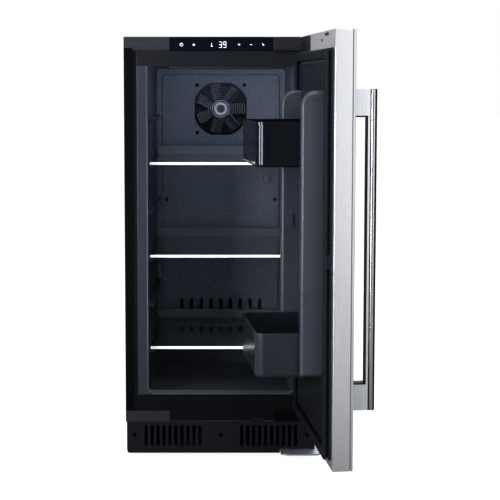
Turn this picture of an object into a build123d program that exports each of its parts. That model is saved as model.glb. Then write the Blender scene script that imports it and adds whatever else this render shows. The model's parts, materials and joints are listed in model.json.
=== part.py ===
from build123d import *
import os

# Under-counter refrigerator with its door open, in millimetres, +Z up.
# The origin is on the floor under the middle of the cabinet. The cabinet faces -Y and the
# door hangs on the right. Door pieces are drawn closed and then swung open to the rest angle.

# Cabinet shell
CABINET_WIDTH = 375.0
CABINET_HEIGHT = 825.0
CABINET_DEPTH = 520.0
SHEET = 1.0
BEND_RADIUS = 0.9
RETURN_WIDTH = 17.0
RETURN_DEPTH = 2.0
FIT = 0.1
SEAT = 0.2

# Plinth and kick plate
KICK_BOTTOM = 8.0
KICK_TOP = 71.0
KICK_INSET = 2.5
KICK_SHEET = 1.5
KICK_CORNER = 5.0
SLOT_COUNT = 10
SLOT_PITCH = 11.8
SLOT_WIDTH = 6.6
SLOT_RAISE = 13.0
SLOT_DROP = 7.0
SLOT_GROUP_OFFSET = 94.5
KICK_NOTCH_WIDTH = 59.0
KICK_NOTCH_DEPTH = 3.0
KICK_TAB_LEFT = 59.0
KICK_TAB_WIDTH = 28.0
KICK_TAB_HEIGHT = 7.0
KICK_SCREW_INSET = 17.5
KICK_SCREW_DROP = 26.0
BASE_INSET = 2.0
BASE_SHEET = 1.5
BASE_FLOOR_SHEET = 2.0
BASE_BOTTOM = 16.0
BASE_POST_WIDTH = 34.0

# Inner liner and its compartments
LINER_SHEET = 2.0
SIDE_WALL = 44.5
FLOOR_RAISE = 56.0
CEILING_DROP = 56.0
BACK_WALL = 65.0
CAVITY_CORNER = 10.0
MACHINE_DEPTH = 220.0
MACHINE_HEADROOM = 17.0
RIM_WIDTH = 20.0
RIM_DROP = 8.0
RIM_ROUND = 1.6
LIP_HEIGHT = 7.0
LIP_DEPTH = 9.0
LIP_ROUND = 3.0
DECK_SHEET = 1.0
HUMP_FOAM = 25.0
HUMP_TOP_FOAM = 20.0

# Front dressing above the opening
FASCIA_EDGE = 0.9
PANEL_FROM_SIDE = 87.5
PANEL_HEIGHT = 27.0
PANEL_SHEET = 2.0
PANEL_EDGE = 0.6
HOUSING_DEPTH = 36.0
HOUSING_WALL = 2.0
HOUSING_RAISE = 1.0
BOARD_HALF_WIDTH = 60.0
BOARD_HEIGHT = 16.0
BOARD_SHEET = 1.6
BOARD_STANDOFF = 4.0
HOLE_COVER_HEIGHT = 21.4
HOLE_COVER_SHEET = 1.5
HOLE_COVER_EDGE = 0.5
LAMP_HALF_LENGTH = 100.0
LAMP_WIDTH = 16.0
LAMP_HEIGHT = 6.0
LAMP_FROM_FRONT = 30.0
LAMP_ROUND = 2.0

# Glass shelves
SHELF_COUNT = 3
SHELF_ABOVE_HUMP = 10.5
SHELF_PITCH = 183.5
SHELF_GLASS = 4.0
SHELF_SIDE_GAP = 3.5
SHELF_FROM_FRONT = 35.0
SHELF_BACK_GAP = 22.0
SHELF_FRONT_TRIM = 4.0
SHELF_REAR_TRIM = 6.0
SHELF_REAR_HEIGHT = 18.0
SHELF_TRIM_LIP = 0.5
SHELF_TRIM_ROUND = 1.2
LEDGE_WIDTH = 10.0
LEDGE_HEIGHT = 8.0
LEDGE_BACK_GAP = 13.0
LEDGE_SETBACK = 4.0
LEDGE_ROUND = 3.6
LEDGES_PER_SHELF = 2

# Rear air panel, fan and evaporator
COIL_SPACE = 52.0
AIR_PANEL_SHEET = 3.0
AIR_FIELD_PROUD = 4.0
AIR_FIELD_INSET = 12.0
AIR_FIELD_ROUND = 1.6
FAN_DROP = 89.0
FAN_SIZE = 120.0
FAN_DEPTH = 25.0
FAN_SCREW_PITCH = 105.0
FAN_BORE = 57.0
FAN_HUB = 20.0
FAN_TIP_GAP = 2.0
FAN_BLADE_COUNT = 7
FAN_BLADE_CHORD = 26.0
FAN_BLADE_SHEET = 1.8
FAN_BLADE_PITCH = 32.0
FAN_SHAFT = 2.5
FAN_MOTOR = 17.0
FAN_MOTOR_DEPTH = 6.0
FAN_STRUT = 5.0
FAN_CORNER = 6.0
RUNNING_FIT = 0.05
AXIAL_GAP = 1.0
GRILLE_RADIUS = 62.0
GRILLE_FLAT = 58.0
GRILLE_GAP_COUNT = 7
GRILLE_PITCH = 5.0
GRILLE_GAP = 3.2
GRILLE_BOSS = 21.5
GRILLE_BOSS_PROUD = 1.0
GRILLE_GROOVE_RADII = (6.5, 13.0, 18.3)
GRILLE_SHEET = 3.5
GRILLE_SPOKE = 3.0
RETURN_SLOT_COUNT = 9
RETURN_SLOT_PITCH = 22.0
RETURN_SLOT_WIDTH = 8.0
RETURN_SLOT_HEIGHT = 26.0
RETURN_SLOT_RAISE = 25.0
FIELD_SCREW_INSET = 22.0
FIELD_SCREW_RAISE = 275.0
SENSOR_WIDTH = 14.0
SENSOR_HEIGHT = 18.0
SENSOR_DEPTH = 6.0
SENSOR_INSET = 48.0
SENSOR_RAISE = 312.0
SENSOR_ROUND = 2.0
COIL_TUBE = 4.0
COIL_FIN_SHEET = 0.8
COIL_FIN_CLEARANCE = 0.15
COIL_BEND_SHARE = 0.48
COIL_END_SHARE = 0.75
EVAPORATOR_SIDE_GAP = 38.0
EVAPORATOR_RAISE = 30.0
EVAPORATOR_ROW_COUNT = 7
EVAPORATOR_HEADROOM = 66.0
EVAPORATOR_FIN_COUNT = 17
EVAPORATOR_DEPTH = 40.0
TROUGH_SIDE_GAP = 18.0
TROUGH_HEIGHT = 16.0
TROUGH_RAISE = 81.0
TROUGH_SHEET = 2.0
DRAIN_X = 60.0
DRAIN_RADIUS = 7.0
DRAIN_WALL = 2.0

# Machine compartment
COMPRESSOR_FROM_SIDE = 109.5
COMPRESSOR_LENGTH = 150.0
COMPRESSOR_DEPTH = 126.0
COMPRESSOR_HEIGHT = 118.0
COMPRESSOR_CROWN = 26.0
COMPRESSOR_SEAM = 4.0
COMPRESSOR_SEAM_HEIGHT = 5.0
COMPRESSOR_PLATE_LENGTH = 172.0
COMPRESSOR_PLATE_DEPTH = 112.0
COMPRESSOR_PLATE_SHEET = 3.0
GROMMET_RADIUS = 9.0
GROMMET_HEIGHT = 10.0
GROMMET_INSET = 12.0
RELAY_LENGTH = 44.0
RELAY_DEPTH = 30.0
RELAY_HEIGHT = 52.0
RELAY_OVERLAP = 11.0
RELAY_ROUND = 3.6
TRAY_LENGTH = 130.0
TRAY_DEPTH = 120.0
TRAY_HEIGHT = 14.0
TRAY_SHEET = 1.5
CONDENSER_FROM_SIDE = 7.5
CONDENSER_LENGTH = 80.0
CONDENSER_END_GAP = 15.5
CONDENSER_RAISE = 18.0
CONDENSER_ROW_COUNT = 5
CONDENSER_HEADROOM = 9.0
CONDENSER_FIN_COUNT = 19
CONDENSER_STANDING_INDEX = 3
COOLING_FAN_GAP = 6.0
PIPE_RADIUS = 3.0
PIPE_BEND = 8.8
PIPE_OFFSET = 11.0
PIPE_RISE_OFFSET = 27.0
DRIER_RADIUS = 9.0
DRIER_LENGTH = 70.0
DRIER_ROUND = 5.4
REAR_RIB = 2.0
REAR_RIB_WIDTH = 14.0
REAR_RIB_OFFSET = 90.0
REAR_RIB_MARGIN = 60.0
REAR_RIB_ROUND = 4.6
ACCESS_SHEET = 1.5
ACCESS_ROW_COUNT = 5
ACCESS_COLUMN_COUNT = 4
ACCESS_SLOT_LENGTH = 58.0
ACCESS_SLOT_HEIGHT = 7.0
ACCESS_SLOT_ROUND = 2.8
ACCESS_SLOT_PITCH = 20.0
ACCESS_SCREW_INSET = 10.0
INLET_RADIUS = 11.0
INLET_BORE = 4.5
INLET_PROUD = 4.0
INLET_HOLE = 9.0
INLET_ROUND = 1.3
INLET_FROM_SIDE = 37.5
INLET_Z = 40.0

# Levelling legs and floor plate
LEG_FROM_SIDE = 22.5
LEG_FROM_FRONT = 46.0
LEG_FROM_BACK = 25.0
LEG_FOOT_RADIUS = 16.0
LEG_FOOT_HEIGHT = 7.0
LEG_FOOT_ROUND = 2.3
LEG_STEM_RADIUS = 4.0
LEG_STEM_TOP = 34.0
LEG_NUT_RADIUS = 9.0
LEG_NUT_HEIGHT = 10.0
LEG_CLEARANCE = 0.3
FLOOR_PLATE_WIDTH = 78.0
FLOOR_PLATE_PROUD = 7.5
FLOOR_PLATE_SHEET = 3.0
FLOOR_PLATE_REACH = 38.0
FLOOR_PLATE_HIDDEN = 18.0
FLOOR_PLATE_ROUND = 12.0
FLOOR_SLOT_LENGTH = 14.0
FLOOR_SLOT_WIDTH = 6.0
FLOOR_SLOT_INSET = 12.5
FLOOR_SLOT_FROM_EDGE = 11.0

# Door
DOOR_RAISE = 16.0
DOOR_TOP_GAP = 1.0
DOOR_THICKNESS = 35.0
DOOR_FRONT_PANEL = 4.0
DOOR_SEAM = 2.0
DOOR_GAP = 14.0
DOOR_SHEET = 1.2
DOOR_EDGE_ROUND = 1.2
DOOR_FRAME_ROUND = 1.0
DOOR_FLANGE_TOP = 30.0
DOOR_FLANGE_BOTTOM = 16.0
DOOR_FLANGE_SIDE = 9.0
DOOR_FLANGE_UNDER = 8.0
DOOR_REST_ANGLE = 95.2
GASKET_WIDTH = 20.0
GASKET_RELIEF = 0.4
GASKET_ROUND = 3.0
GASKET_JOINT_HEIGHT = 24.0
GASKET_JOINT_RAISE = 352.0
GASKET_JOINT_PROUD = 0.8
DOOR_LINER_SHEET = 3.0
DOOR_LINER_MARGIN = 2.0
DOOR_FIELD = 8.0
DOOR_FIELD_ROUND = 2.0
DIKE_NEAR = 42.0
DIKE_FROM_EDGE = 57.5
DIKE_WIDTH = 18.0
DIKE_PROUD = 46.0
DIKE_ABOVE_BIN_FLOOR = 5.0
DIKE_ABOVE_BIN_RIM = 53.0
DIKE_ROUND = 6.0
DIKE_TOP_ROUND = 26.0
DIKE_FOOT_ROUND = 4.0
SHORT_SLOT_FROM_HINGE = 232.0
SHORT_SLOT_LENGTH = 16.0
SHORT_SLOT_DROP = 14.8
LONG_SLOT_FROM_HINGE = 278.0
LONG_SLOT_LENGTH = 42.0
LONG_SLOT_DROP = 5.8
FLANGE_SLOT_WIDTH = 5.0

# Door bins and the bosses that carry them
UPPER_BIN_RAISE = 12.5
LOWER_BIN_RAISE = 17.5
BIN_HEIGHT = 77.0
BIN_WALL = 3.0
BIN_END_GAP = 4.0
BIN_BACK_GAP = 2.0
BIN_REACH = 120.0
BIN_CORNER = 18.0
BIN_BACK_CORNER = 4.0
BIN_INSIDE_CORNER = 2.0
BIN_FLOOR_ROUND = 5.0
BIN_RIM = 2.0
BIN_RIM_HEIGHT = 5.0
BOSS_WIDTH = 11.0
BOSS_HEIGHT = 28.0
BOSS_PROUD = 3.0
BOSS_FROM_BIN_BOTTOM = 36.0
BOSS_FROM_FIELD = 16.0
SPARE_BOSS_RAISE = 70.0
PAD_WIDTH = 24.0
PAD_CLEARANCE = 0.4

# Handle
HANDLE_FROM_EDGE = 26.5
HANDLE_WIDTH = 24.0
HANDLE_RAISE = 100.0
HANDLE_DROP = 98.0
HANDLE_POST_HEIGHT = 44.0
HANDLE_GAP = 23.7
HANDLE_STRIP = 3.5
HANDLE_BAR = 12.0
HANDLE_BAR_ROUND = 5.5
HANDLE_BAR_INSET = 2.0
HANDLE_END_ROUND = 0.8
HANDLE_SCREW_RADIUS = 2.5

# Hinges
HINGE_FROM_EDGE = 11.5
HINGE_FROM_FACE = 12.0
UPPER_ARM_DROP = 18.0
UPPER_ARM_SHEET = 6.0
UPPER_ARM_WIDTH = 12.0
UPPER_ARM_OFFSET = 5.0
UPPER_EYE_RADIUS = 7.0
UPPER_PIN_RADIUS = 4.0
UPPER_PIN_RISE = 14.0
ARM_CLEARANCE = 2.0
ARM_END_CLEARANCE = 0.5
UPPER_BUSH_RADIUS = 7.4
LOWER_ARM_RAISE = 7.0
LOWER_ARM_SHEET = 4.0
LOWER_ARM_WIDTH = 22.0
LOWER_PIN_RADIUS = 5.0
LOWER_PIN_RISE = 23.0
LOWER_BUSH_RADIUS = 8.0
LOWER_BUSH_FLANGE = 10.5
LOWER_BUSH_DEPTH = 21.0
HINGE_PLATE_SHEET = 3.0
HINGE_PLATE_WIDTH = 79.0
HINGE_PLATE_INSET = 3.5
LOWER_PLATE_RAISE = 1.0
LOWER_PLATE_HEIGHT = 23.0
UPPER_PLATE_RAISE = 3.0
UPPER_PLATE_DROP = 4.0
HINGE_COVER_GAP = 2.0
HINGE_COVER_FROM_SIDE = 26.5
HINGE_COVER_PROUD = 11.0
HINGE_COVER_ROUND = 7.0
HINGE_COVER_WALL = 1.5
HINGE_SCREW_INSETS = (11.0, 39.0)

# Screws
SCREW_HEAD_RADIUS = 4.0
SCREW_HEAD = 2.4
SCREW_SHANK_RADIUS = 2.0
SCREW_CLEARANCE = 0.2
SCREW_RECESS = 1.2
SCREW_LENGTH = 7.0
FAN_SCREW_LENGTH = 14.0

# Tolerances for picking edges
SAME_WAY = 1e-6
SAME_PLACE = 1e-3

# Places that follow from the sizes above: the cabinet
FRONT = -CABINET_DEPTH / 2
REAR = CABINET_DEPTH / 2
SIDE = CABINET_WIDTH / 2
INSIDE = SIDE - SHEET
TOP = CABINET_HEIGHT
PANEL_BOTTOM = TOP - PANEL_HEIGHT
PANEL_HALF_WIDTH = SIDE - PANEL_FROM_SIDE
HOUSING_BOTTOM = PANEL_BOTTOM + HOUSING_RAISE
HOUSING_TOP = TOP - SHEET - SEAT
HOUSING_MIDDLE = (HOUSING_BOTTOM + HOUSING_TOP) / 2
FLANGE_FACE = FRONT + RETURN_DEPTH
FLANGE_BACK = FLANGE_FACE + LINER_SHEET
FLANGE_TOP = HOUSING_BOTTOM - FIT
FLANGE_BOTTOM = KICK_TOP + DECK_SHEET
HOLE_COVER_WIDTH = PANEL_FROM_SIDE - HOLE_COVER_EDGE
KICK_HALF_WIDTH = SIDE - KICK_INSET
LEG_X = SIDE - LEG_FROM_SIDE
FLOOR_PLATE_RIGHT = SIDE + FLOOR_PLATE_PROUD
FLOOR_PLATE_LEFT = FLOOR_PLATE_RIGHT - FLOOR_PLATE_WIDTH
FLOOR_SLOT_X = FLOOR_PLATE_LEFT + FLOOR_SLOT_INSET

# The machine compartment, from its floor up to the step in the liner
REAR_SKIN = REAR - REAR_RIB
FOAM_BACK = REAR_SKIN - SHEET
HUMP_FACE = REAR - MACHINE_DEPTH
DECK_STEP = HUMP_FACE + LINER_SHEET + HUMP_FOAM
MACHINE_FRONT = DECK_STEP + DECK_SHEET
MACHINE_MIDDLE = (MACHINE_FRONT + FOAM_BACK) / 2
MACHINE_FLOOR = BASE_BOTTOM + BASE_FLOOR_SHEET
COMPRESSOR_X = SIDE - COMPRESSOR_FROM_SIDE
COMPRESSOR_BOTTOM = MACHINE_FLOOR + GROMMET_HEIGHT
TRAY_BOTTOM = COMPRESSOR_BOTTOM + COMPRESSOR_PLATE_SHEET + COMPRESSOR_HEIGHT
DECK_ROOF = TRAY_BOTTOM + TRAY_HEIGHT + MACHINE_HEADROOM + DECK_SHEET
HUMP_TOP = DECK_ROOF + HUMP_TOP_FOAM + LINER_SHEET
CONDENSER_LEFT = CONDENSER_FROM_SIDE - SIDE
CONDENSER_FRONT = MACHINE_FRONT + CONDENSER_END_GAP
CONDENSER_BACK = FOAM_BACK - CONDENSER_END_GAP
CONDENSER_BOTTOM = MACHINE_FLOOR + CONDENSER_RAISE
CONDENSER_TOP = DECK_ROOF - DECK_SHEET - CONDENSER_HEADROOM
CONDENSER_ROW_PITCH = (CONDENSER_TOP - CONDENSER_BOTTOM) / CONDENSER_ROW_COUNT
INLET_X = SIDE - INLET_FROM_SIDE

# The cooled space
CAVITY_HALF_WIDTH = SIDE - SIDE_WALL
CAVITY_FLOOR = KICK_TOP + FLOOR_RAISE
CAVITY_CEILING = TOP - CEILING_DROP
CAVITY_BACK = REAR - BACK_WALL
RIM_HALF_WIDTH = CAVITY_HALF_WIDTH + RIM_WIDTH
RIM_BOTTOM = CAVITY_FLOOR - RIM_DROP
AIR_PANEL_BACK = CAVITY_BACK - COIL_SPACE
AIR_PANEL_FACE = AIR_PANEL_BACK - AIR_PANEL_SHEET
AIR_FIELD_FACE = AIR_PANEL_FACE - AIR_FIELD_PROUD
FAN_HEIGHT = CAVITY_CEILING - FAN_DROP
TROUGH_BOTTOM = HUMP_TOP + TROUGH_RAISE
TROUGH_TOP = TROUGH_BOTTOM + TROUGH_HEIGHT
TROUGH_HALF_WIDTH = CAVITY_HALF_WIDTH - TROUGH_SIDE_GAP
EVAPORATOR_HALF_WIDTH = CAVITY_HALF_WIDTH - EVAPORATOR_SIDE_GAP
EVAPORATOR_BOTTOM = TROUGH_TOP + EVAPORATOR_RAISE
EVAPORATOR_TOP = FAN_HEIGHT - FAN_SIZE / 2 - EVAPORATOR_HEADROOM
EVAPORATOR_ROW_PITCH = (EVAPORATOR_TOP - EVAPORATOR_BOTTOM) / EVAPORATOR_ROW_COUNT
EVAPORATOR_BACK = CAVITY_BACK - SEAT
EVAPORATOR_MIDDLE = EVAPORATOR_BACK - EVAPORATOR_DEPTH / 2
DRAIN_Y = (AIR_PANEL_BACK + CAVITY_BACK) / 2
SHELF_HALF_WIDTH = CAVITY_HALF_WIDTH - SHELF_SIDE_GAP
SHELF_FRONT = FRONT + SHELF_FROM_FRONT
SHELF_BACK = AIR_FIELD_FACE - SHELF_BACK_GAP
SHELF_TOPS = [HUMP_TOP + SHELF_ABOVE_HUMP + index * SHELF_PITCH for index in range(SHELF_COUNT)]

# The door, its bins and its hinges
DOOR_INNER = FRONT - DOOR_GAP
DOOR_OUTER = DOOR_INNER - DOOR_THICKNESS
DOOR_BOTTOM = KICK_TOP + DOOR_RAISE
DOOR_TOP = TOP - DOOR_TOP_GAP
HINGE_X = SIDE - HINGE_FROM_EDGE
HINGE_Y = DOOR_OUTER + HINGE_FROM_FACE
DOOR_FREE_EDGE = HINGE_X + SIDE
GASKET_TOP = DOOR_TOP - DOOR_FLANGE_TOP
GASKET_BOTTOM = DOOR_BOTTOM + DOOR_FLANGE_BOTTOM
GASKET_NEAR = DOOR_FLANGE_SIDE - HINGE_FROM_EDGE
GASKET_FAR = DOOR_FREE_EDGE - DOOR_FLANGE_SIDE
GASKET_JOINT_Z = DOOR_BOTTOM + GASKET_JOINT_RAISE
BIN_BOTTOMS = {
    "upper_bin": SHELF_TOPS[-1] + UPPER_BIN_RAISE,
    "lower_bin": SHELF_TOPS[0] + LOWER_BIN_RAISE,
}
SPARE_BOSS_Z = SHELF_TOPS[1] + SPARE_BOSS_RAISE
DIKE_FAR = DOOR_FREE_EDGE - DIKE_FROM_EDGE
DIKE_BOTTOM = BIN_BOTTOMS["lower_bin"] + DIKE_ABOVE_BIN_FLOOR
DIKE_TOP = BIN_BOTTOMS["upper_bin"] + BIN_HEIGHT + DIKE_ABOVE_BIN_RIM
HANDLE_X = HINGE_X - DOOR_FREE_EDGE + HANDLE_FROM_EDGE
HANDLE_BOTTOM = DOOR_BOTTOM + HANDLE_RAISE
HANDLE_TOP = DOOR_TOP - HANDLE_DROP
UPPER_ARM_BOTTOM = DOOR_TOP - UPPER_ARM_DROP
LOWER_ARM_BOTTOM = KICK_TOP + LOWER_ARM_RAISE
HINGE_PLATE_RIGHT = SIDE - HINGE_PLATE_INSET
HINGE_PLATE_LEFT = HINGE_PLATE_RIGHT - HINGE_PLATE_WIDTH
HINGE_SCREW_X = [HINGE_PLATE_LEFT + inset for inset in HINGE_SCREW_INSETS]
LOWER_PLATE_BOTTOM = KICK_TOP + LOWER_PLATE_RAISE
LOWER_PLATE_TOP = LOWER_PLATE_BOTTOM + LOWER_PLATE_HEIGHT
UPPER_PLATE_BOTTOM = PANEL_BOTTOM + UPPER_PLATE_RAISE
UPPER_PLATE_TOP = TOP - UPPER_PLATE_DROP
HINGE_COVER_LEFT = PANEL_HALF_WIDTH + HINGE_COVER_GAP
HINGE_COVER_RIGHT = SIDE - HINGE_COVER_FROM_SIDE


def block(x, y, z):
    """A box between two values on each axis."""
    spans = (x, y, z)
    middle = [(low + high) / 2 for low, high in spans]
    return Pos(*middle) * Box(*[high - low for low, high in spans])


def rod(radius, start, end):
    """A round bar from one point to another."""
    run = Vector(*end) - Vector(*start)
    seat = Plane(origin=start, z_dir=run)
    return seat * Cylinder(radius, run.length, align=(Align.CENTER, Align.CENTER, Align.MIN))


def pipe(radius, points, bend):
    """A round pipe along straight runs with rounded bends."""
    path = FilletPolyline(*points, radius=bend)
    section = Plane(origin=path @ 0, z_dir=path % 0) * Circle(radius)
    return sweep(section, path=path)


def mirrored(shape):
    """The same shape on the other side of the cabinet's middle plane."""
    return mirror(shape, about=Plane.YZ)


def soften(shape, radius, *tests):
    """Fillet the edges whose direction and middle point pass every test."""
    edges = [edge for edge in shape.edges() if all(test(edge) for test in tests)]
    return fillet(edges, radius)


def along(axis):
    """A test for straight edges parallel to one axis."""
    def test(edge):
        return edge.geom_type == GeomType.LINE and abs(abs((edge % 0).dot(axis.direction)) - 1) < SAME_WAY
    return test


def near(index, value):
    """A test for edges whose middle lies at one coordinate."""
    return lambda edge: abs(tuple(edge @ 0.5)[index] - value) < SAME_PLACE


def screw(point, direction, length=SCREW_LENGTH):
    """A pan-head screw whose head sits at a point, with its shank along a direction."""
    way = Vector(*direction)
    seat = Vector(*point)
    head = rod(SCREW_HEAD_RADIUS, seat - way * SCREW_HEAD, seat)
    shank = rod(SCREW_SHANK_RADIUS, seat, seat + way * length)
    face = Plane(origin=seat - way * SCREW_HEAD, z_dir=way)
    cross = Box(SCREW_HEAD_RADIUS, SCREW_RECESS, 2 * SCREW_RECESS)
    cross += Box(SCREW_RECESS, SCREW_HEAD_RADIUS, 2 * SCREW_RECESS)
    return head + shank - face * cross


def screw_hole(point, direction):
    """The clearance hole that a screw passes through."""
    way = Vector(*direction)
    seat = Vector(*point)
    reach = way * (SCREW_LENGTH + SCREW_HEAD)
    return rod(SCREW_SHANK_RADIUS + SCREW_CLEARANCE, seat - reach, seat + reach)


def upright_slot(x, y, z, width):
    """A tall slot with round ends that runs through in Y."""
    low, high = z
    left = x - width / 2
    body = block((left, left + width), y, (low + width / 2, high - width / 2))
    for end in (low + width / 2, high - width / 2):
        body += rod(width / 2, (x, y[0], end), (x, y[1], end))
    return body


# Cabinet shell

def cabinet_wrapper():
    """Folded steel sides and top with hemmed returns at the front."""
    outer = block((-SIDE, SIDE), (FRONT, REAR), (KICK_TOP, TOP))
    outer = soften(outer, BEND_RADIUS, along(Axis.Y), near(2, TOP))
    outer = soften(outer, BEND_RADIUS, near(1, FRONT), lambda edge: (edge @ 0.5).Z > KICK_TOP)
    inner = block((-INSIDE, INSIDE), (FRONT, REAR), (KICK_TOP, TOP - SHEET))
    shell = outer - inner
    hem = block((INSIDE - RETURN_WIDTH + SHEET, INSIDE), (FRONT, FLANGE_FACE), (KICK_TOP, TOP - SHEET))
    return shell + hem + mirrored(hem)


def rear_panel():
    """Steel back with raised stiffening ribs."""
    half = INSIDE - FIT
    low = DECK_ROOF
    high = TOP - SHEET - FIT
    panel = block((-half, half), (FOAM_BACK, REAR_SKIN), (low, high))
    rib_span = (low + REAR_RIB_MARGIN, high - REAR_RIB_MARGIN)
    for x in (-REAR_RIB_OFFSET, REAR_RIB_OFFSET):
        edges = (x - REAR_RIB_WIDTH / 2, x + REAR_RIB_WIDTH / 2)
        rib = block(edges, (REAR_SKIN, REAR), rib_span)
        panel += soften(rib, REAR_RIB_ROUND, along(Axis.Y))
    return panel


def base_pan():
    """Folded steel tray that carries the machinery, with a windowed front wall."""
    half = SIDE - BASE_INSET
    front = FRONT + KICK_SHEET
    tray = block((-half, half), (front, REAR_SKIN), (BASE_BOTTOM, KICK_TOP))
    room = half - BASE_SHEET
    tray -= block((-room, room), (front + BASE_SHEET, REAR), (MACHINE_FLOOR, KICK_TOP))
    for side in (-1, 1):
        window = sorted((side * BASE_POST_WIDTH / 2, side * (half - BASE_POST_WIDTH)))
        tray -= block(window, (front, front + BASE_SHEET), (MACHINE_FLOOR, KICK_TOP - BASE_SHEET))
    for point in kick_screw_points():
        tray -= screw_hole(point, (0, 1, 0))
    divider = (-BASE_SHEET / 2, BASE_SHEET / 2)
    tray += block(divider, (front + SCREW_LENGTH + SCREW_CLEARANCE, DECK_STEP), (MACHINE_FLOOR, KICK_TOP))
    for x, y in leg_places():
        tray += rod(LEG_NUT_RADIUS, (x, y, MACHINE_FLOOR), (x, y, MACHINE_FLOOR + LEG_NUT_HEIGHT))
        tray -= rod(LEG_STEM_RADIUS + LEG_CLEARANCE, (x, y, 0), (x, y, KICK_TOP))
    return tray


def deck():
    """Sheet-metal underside that steps up over the machine compartment."""
    half = INSIDE - FIT
    across = (-half, half)
    plate = block(across, (FLANGE_BACK, MACHINE_FRONT), (KICK_TOP, FLANGE_BOTTOM))
    plate += block(across, (DECK_STEP, MACHINE_FRONT), (KICK_TOP, DECK_ROOF))
    plate += block(across, (DECK_STEP, FOAM_BACK), (DECK_ROOF - DECK_SHEET, DECK_ROOF))
    return plate - drain_hole()


def drain_hole():
    """The passage that the drain tube takes down from the trough."""
    radius = DRAIN_RADIUS + SEAT
    return rod(radius, (DRAIN_X, DRAIN_Y, 0), (DRAIN_X, DRAIN_Y, TROUGH_BOTTOM))


def cavity(extra=0.0, corner=0.0):
    """The cooled space, grown outwards by an extra skin."""
    half = CAVITY_HALF_WIDTH + extra
    front = FRONT - DOOR_GAP
    upper = block((-half, half), (front, CAVITY_BACK + extra), (HUMP_TOP - extra, CAVITY_CEILING + extra))
    lower = block((-half, half), (front, HUMP_FACE + extra), (CAVITY_FLOOR - extra, HUMP_TOP + extra))
    if corner:
        upper = soften(upper, corner, along(Axis.Y), near(2, CAVITY_CEILING + extra))
        lower = soften(lower, corner, along(Axis.Y), near(2, CAVITY_FLOOR - extra))
    return upper + lower


def insulation_foam():
    """Foamed-in insulation between the liner, the shell and the deck."""
    half = INSIDE - FIT
    foam = block((-half, half), (FLANGE_BACK, FOAM_BACK), (FLANGE_BOTTOM, TOP - SHEET - FIT))
    foam -= block((-half, half), (DECK_STEP, FOAM_BACK), (FLANGE_BOTTOM, DECK_ROOF))
    foam -= cavity(LINER_SHEET)
    housing = (FRONT, FRONT + HOUSING_DEPTH + FIT)
    foam -= block((-half, half), housing, (FLANGE_TOP, TOP))
    for point in hinge_screw_points():
        foam -= screw_hole(point, (0, 1, 0))
    return foam - drain_hole()


def inner_liner():
    """One-piece moulded liner with its front flange, raised rim and shelf ledges."""
    half = INSIDE - FIT
    body = cavity(LINER_SHEET) & block((-SIDE, SIDE), (FLANGE_FACE, REAR), (0, TOP))
    body += block((-half, half), (FLANGE_FACE, FLANGE_BACK), (FLANGE_BOTTOM, FLANGE_TOP))
    rim = block((-RIM_HALF_WIDTH, RIM_HALF_WIDTH), (FRONT, FLANGE_FACE), (RIM_BOTTOM, CAVITY_CEILING))
    body += soften(rim, RIM_ROUND, along(Axis.Z), near(1, FRONT))
    body -= cavity(corner=CAVITY_CORNER)
    body += floor_lip()
    for z in ledge_heights():
        body += shelf_ledge(z) + mirrored(shelf_ledge(z))
    for point in hinge_screw_points()[2:]:
        body -= screw_hole(point, (0, 1, 0))
    return body - drain_hole()


def floor_lip():
    """The raised bead that keeps spills on the floor of the liner."""
    half = CAVITY_HALF_WIDTH
    top = CAVITY_FLOOR + LIP_HEIGHT
    lip = block((-half, half), (FRONT, FRONT + LIP_DEPTH), (CAVITY_FLOOR, top))
    lip = soften(lip, LIP_ROUND, along(Axis.X), near(2, top))
    space = cavity(corner=CAVITY_CORNER)
    return lip & space


def ledge_heights():
    """Tops of the moulded ledges: one under each shelf and spares between them."""
    step = SHELF_PITCH / LEDGES_PER_SHELF
    first = SHELF_TOPS[0] - SHELF_GLASS
    return [first + step * index for index in range(SHELF_COUNT * LEDGES_PER_SHELF)]


def shelf_ledge(top):
    """A moulded ledge on the right-hand wall of the liner."""
    run = (SHELF_FRONT + LEDGE_SETBACK, AIR_FIELD_FACE - LEDGE_BACK_GAP)
    inner = CAVITY_HALF_WIDTH - LEDGE_WIDTH
    ledge = block((inner, CAVITY_HALF_WIDTH), run, (top - LEDGE_HEIGHT, top))
    return soften(ledge, LEDGE_ROUND, along(Axis.Y), near(0, inner), near(2, top - LEDGE_HEIGHT))


# Front dressing

def top_fascia():
    """Moulded strip across the top of the opening."""
    across = (-RIM_HALF_WIDTH, RIM_HALF_WIDTH)
    strip = block(across, (FRONT, FLANGE_FACE), (CAVITY_CEILING, PANEL_BOTTOM - SEAT))
    return soften(strip, FASCIA_EDGE, near(1, FRONT))


def control_housing():
    """Plastic box behind the touch panel, open at the back, with posts for the board."""
    half = SIDE - RETURN_WIDTH - SEAT
    box = block((-half, half), (FRONT, FRONT + HOUSING_DEPTH), (HOUSING_BOTTOM, HOUSING_TOP))
    room = half - HOUSING_WALL
    back = (FRONT + HOUSING_WALL, FRONT + HOUSING_DEPTH)
    box -= block((-room, room), back, (HOUSING_BOTTOM + HOUSING_WALL, HOUSING_TOP - HOUSING_WALL))
    post_end = FRONT + HOUSING_WALL + BOARD_STANDOFF
    for x in (-BOARD_HALF_WIDTH + BOARD_HEIGHT / 2, BOARD_HALF_WIDTH - BOARD_HEIGHT / 2):
        post = (x, FRONT + HOUSING_WALL / 2, HOUSING_MIDDLE), (x, post_end, HOUSING_MIDDLE)
        box += rod(BOARD_STANDOFF, *post)
    for point in hinge_screw_points()[:2]:
        box -= screw_hole(point, (0, 1, 0))
    return box


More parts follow.
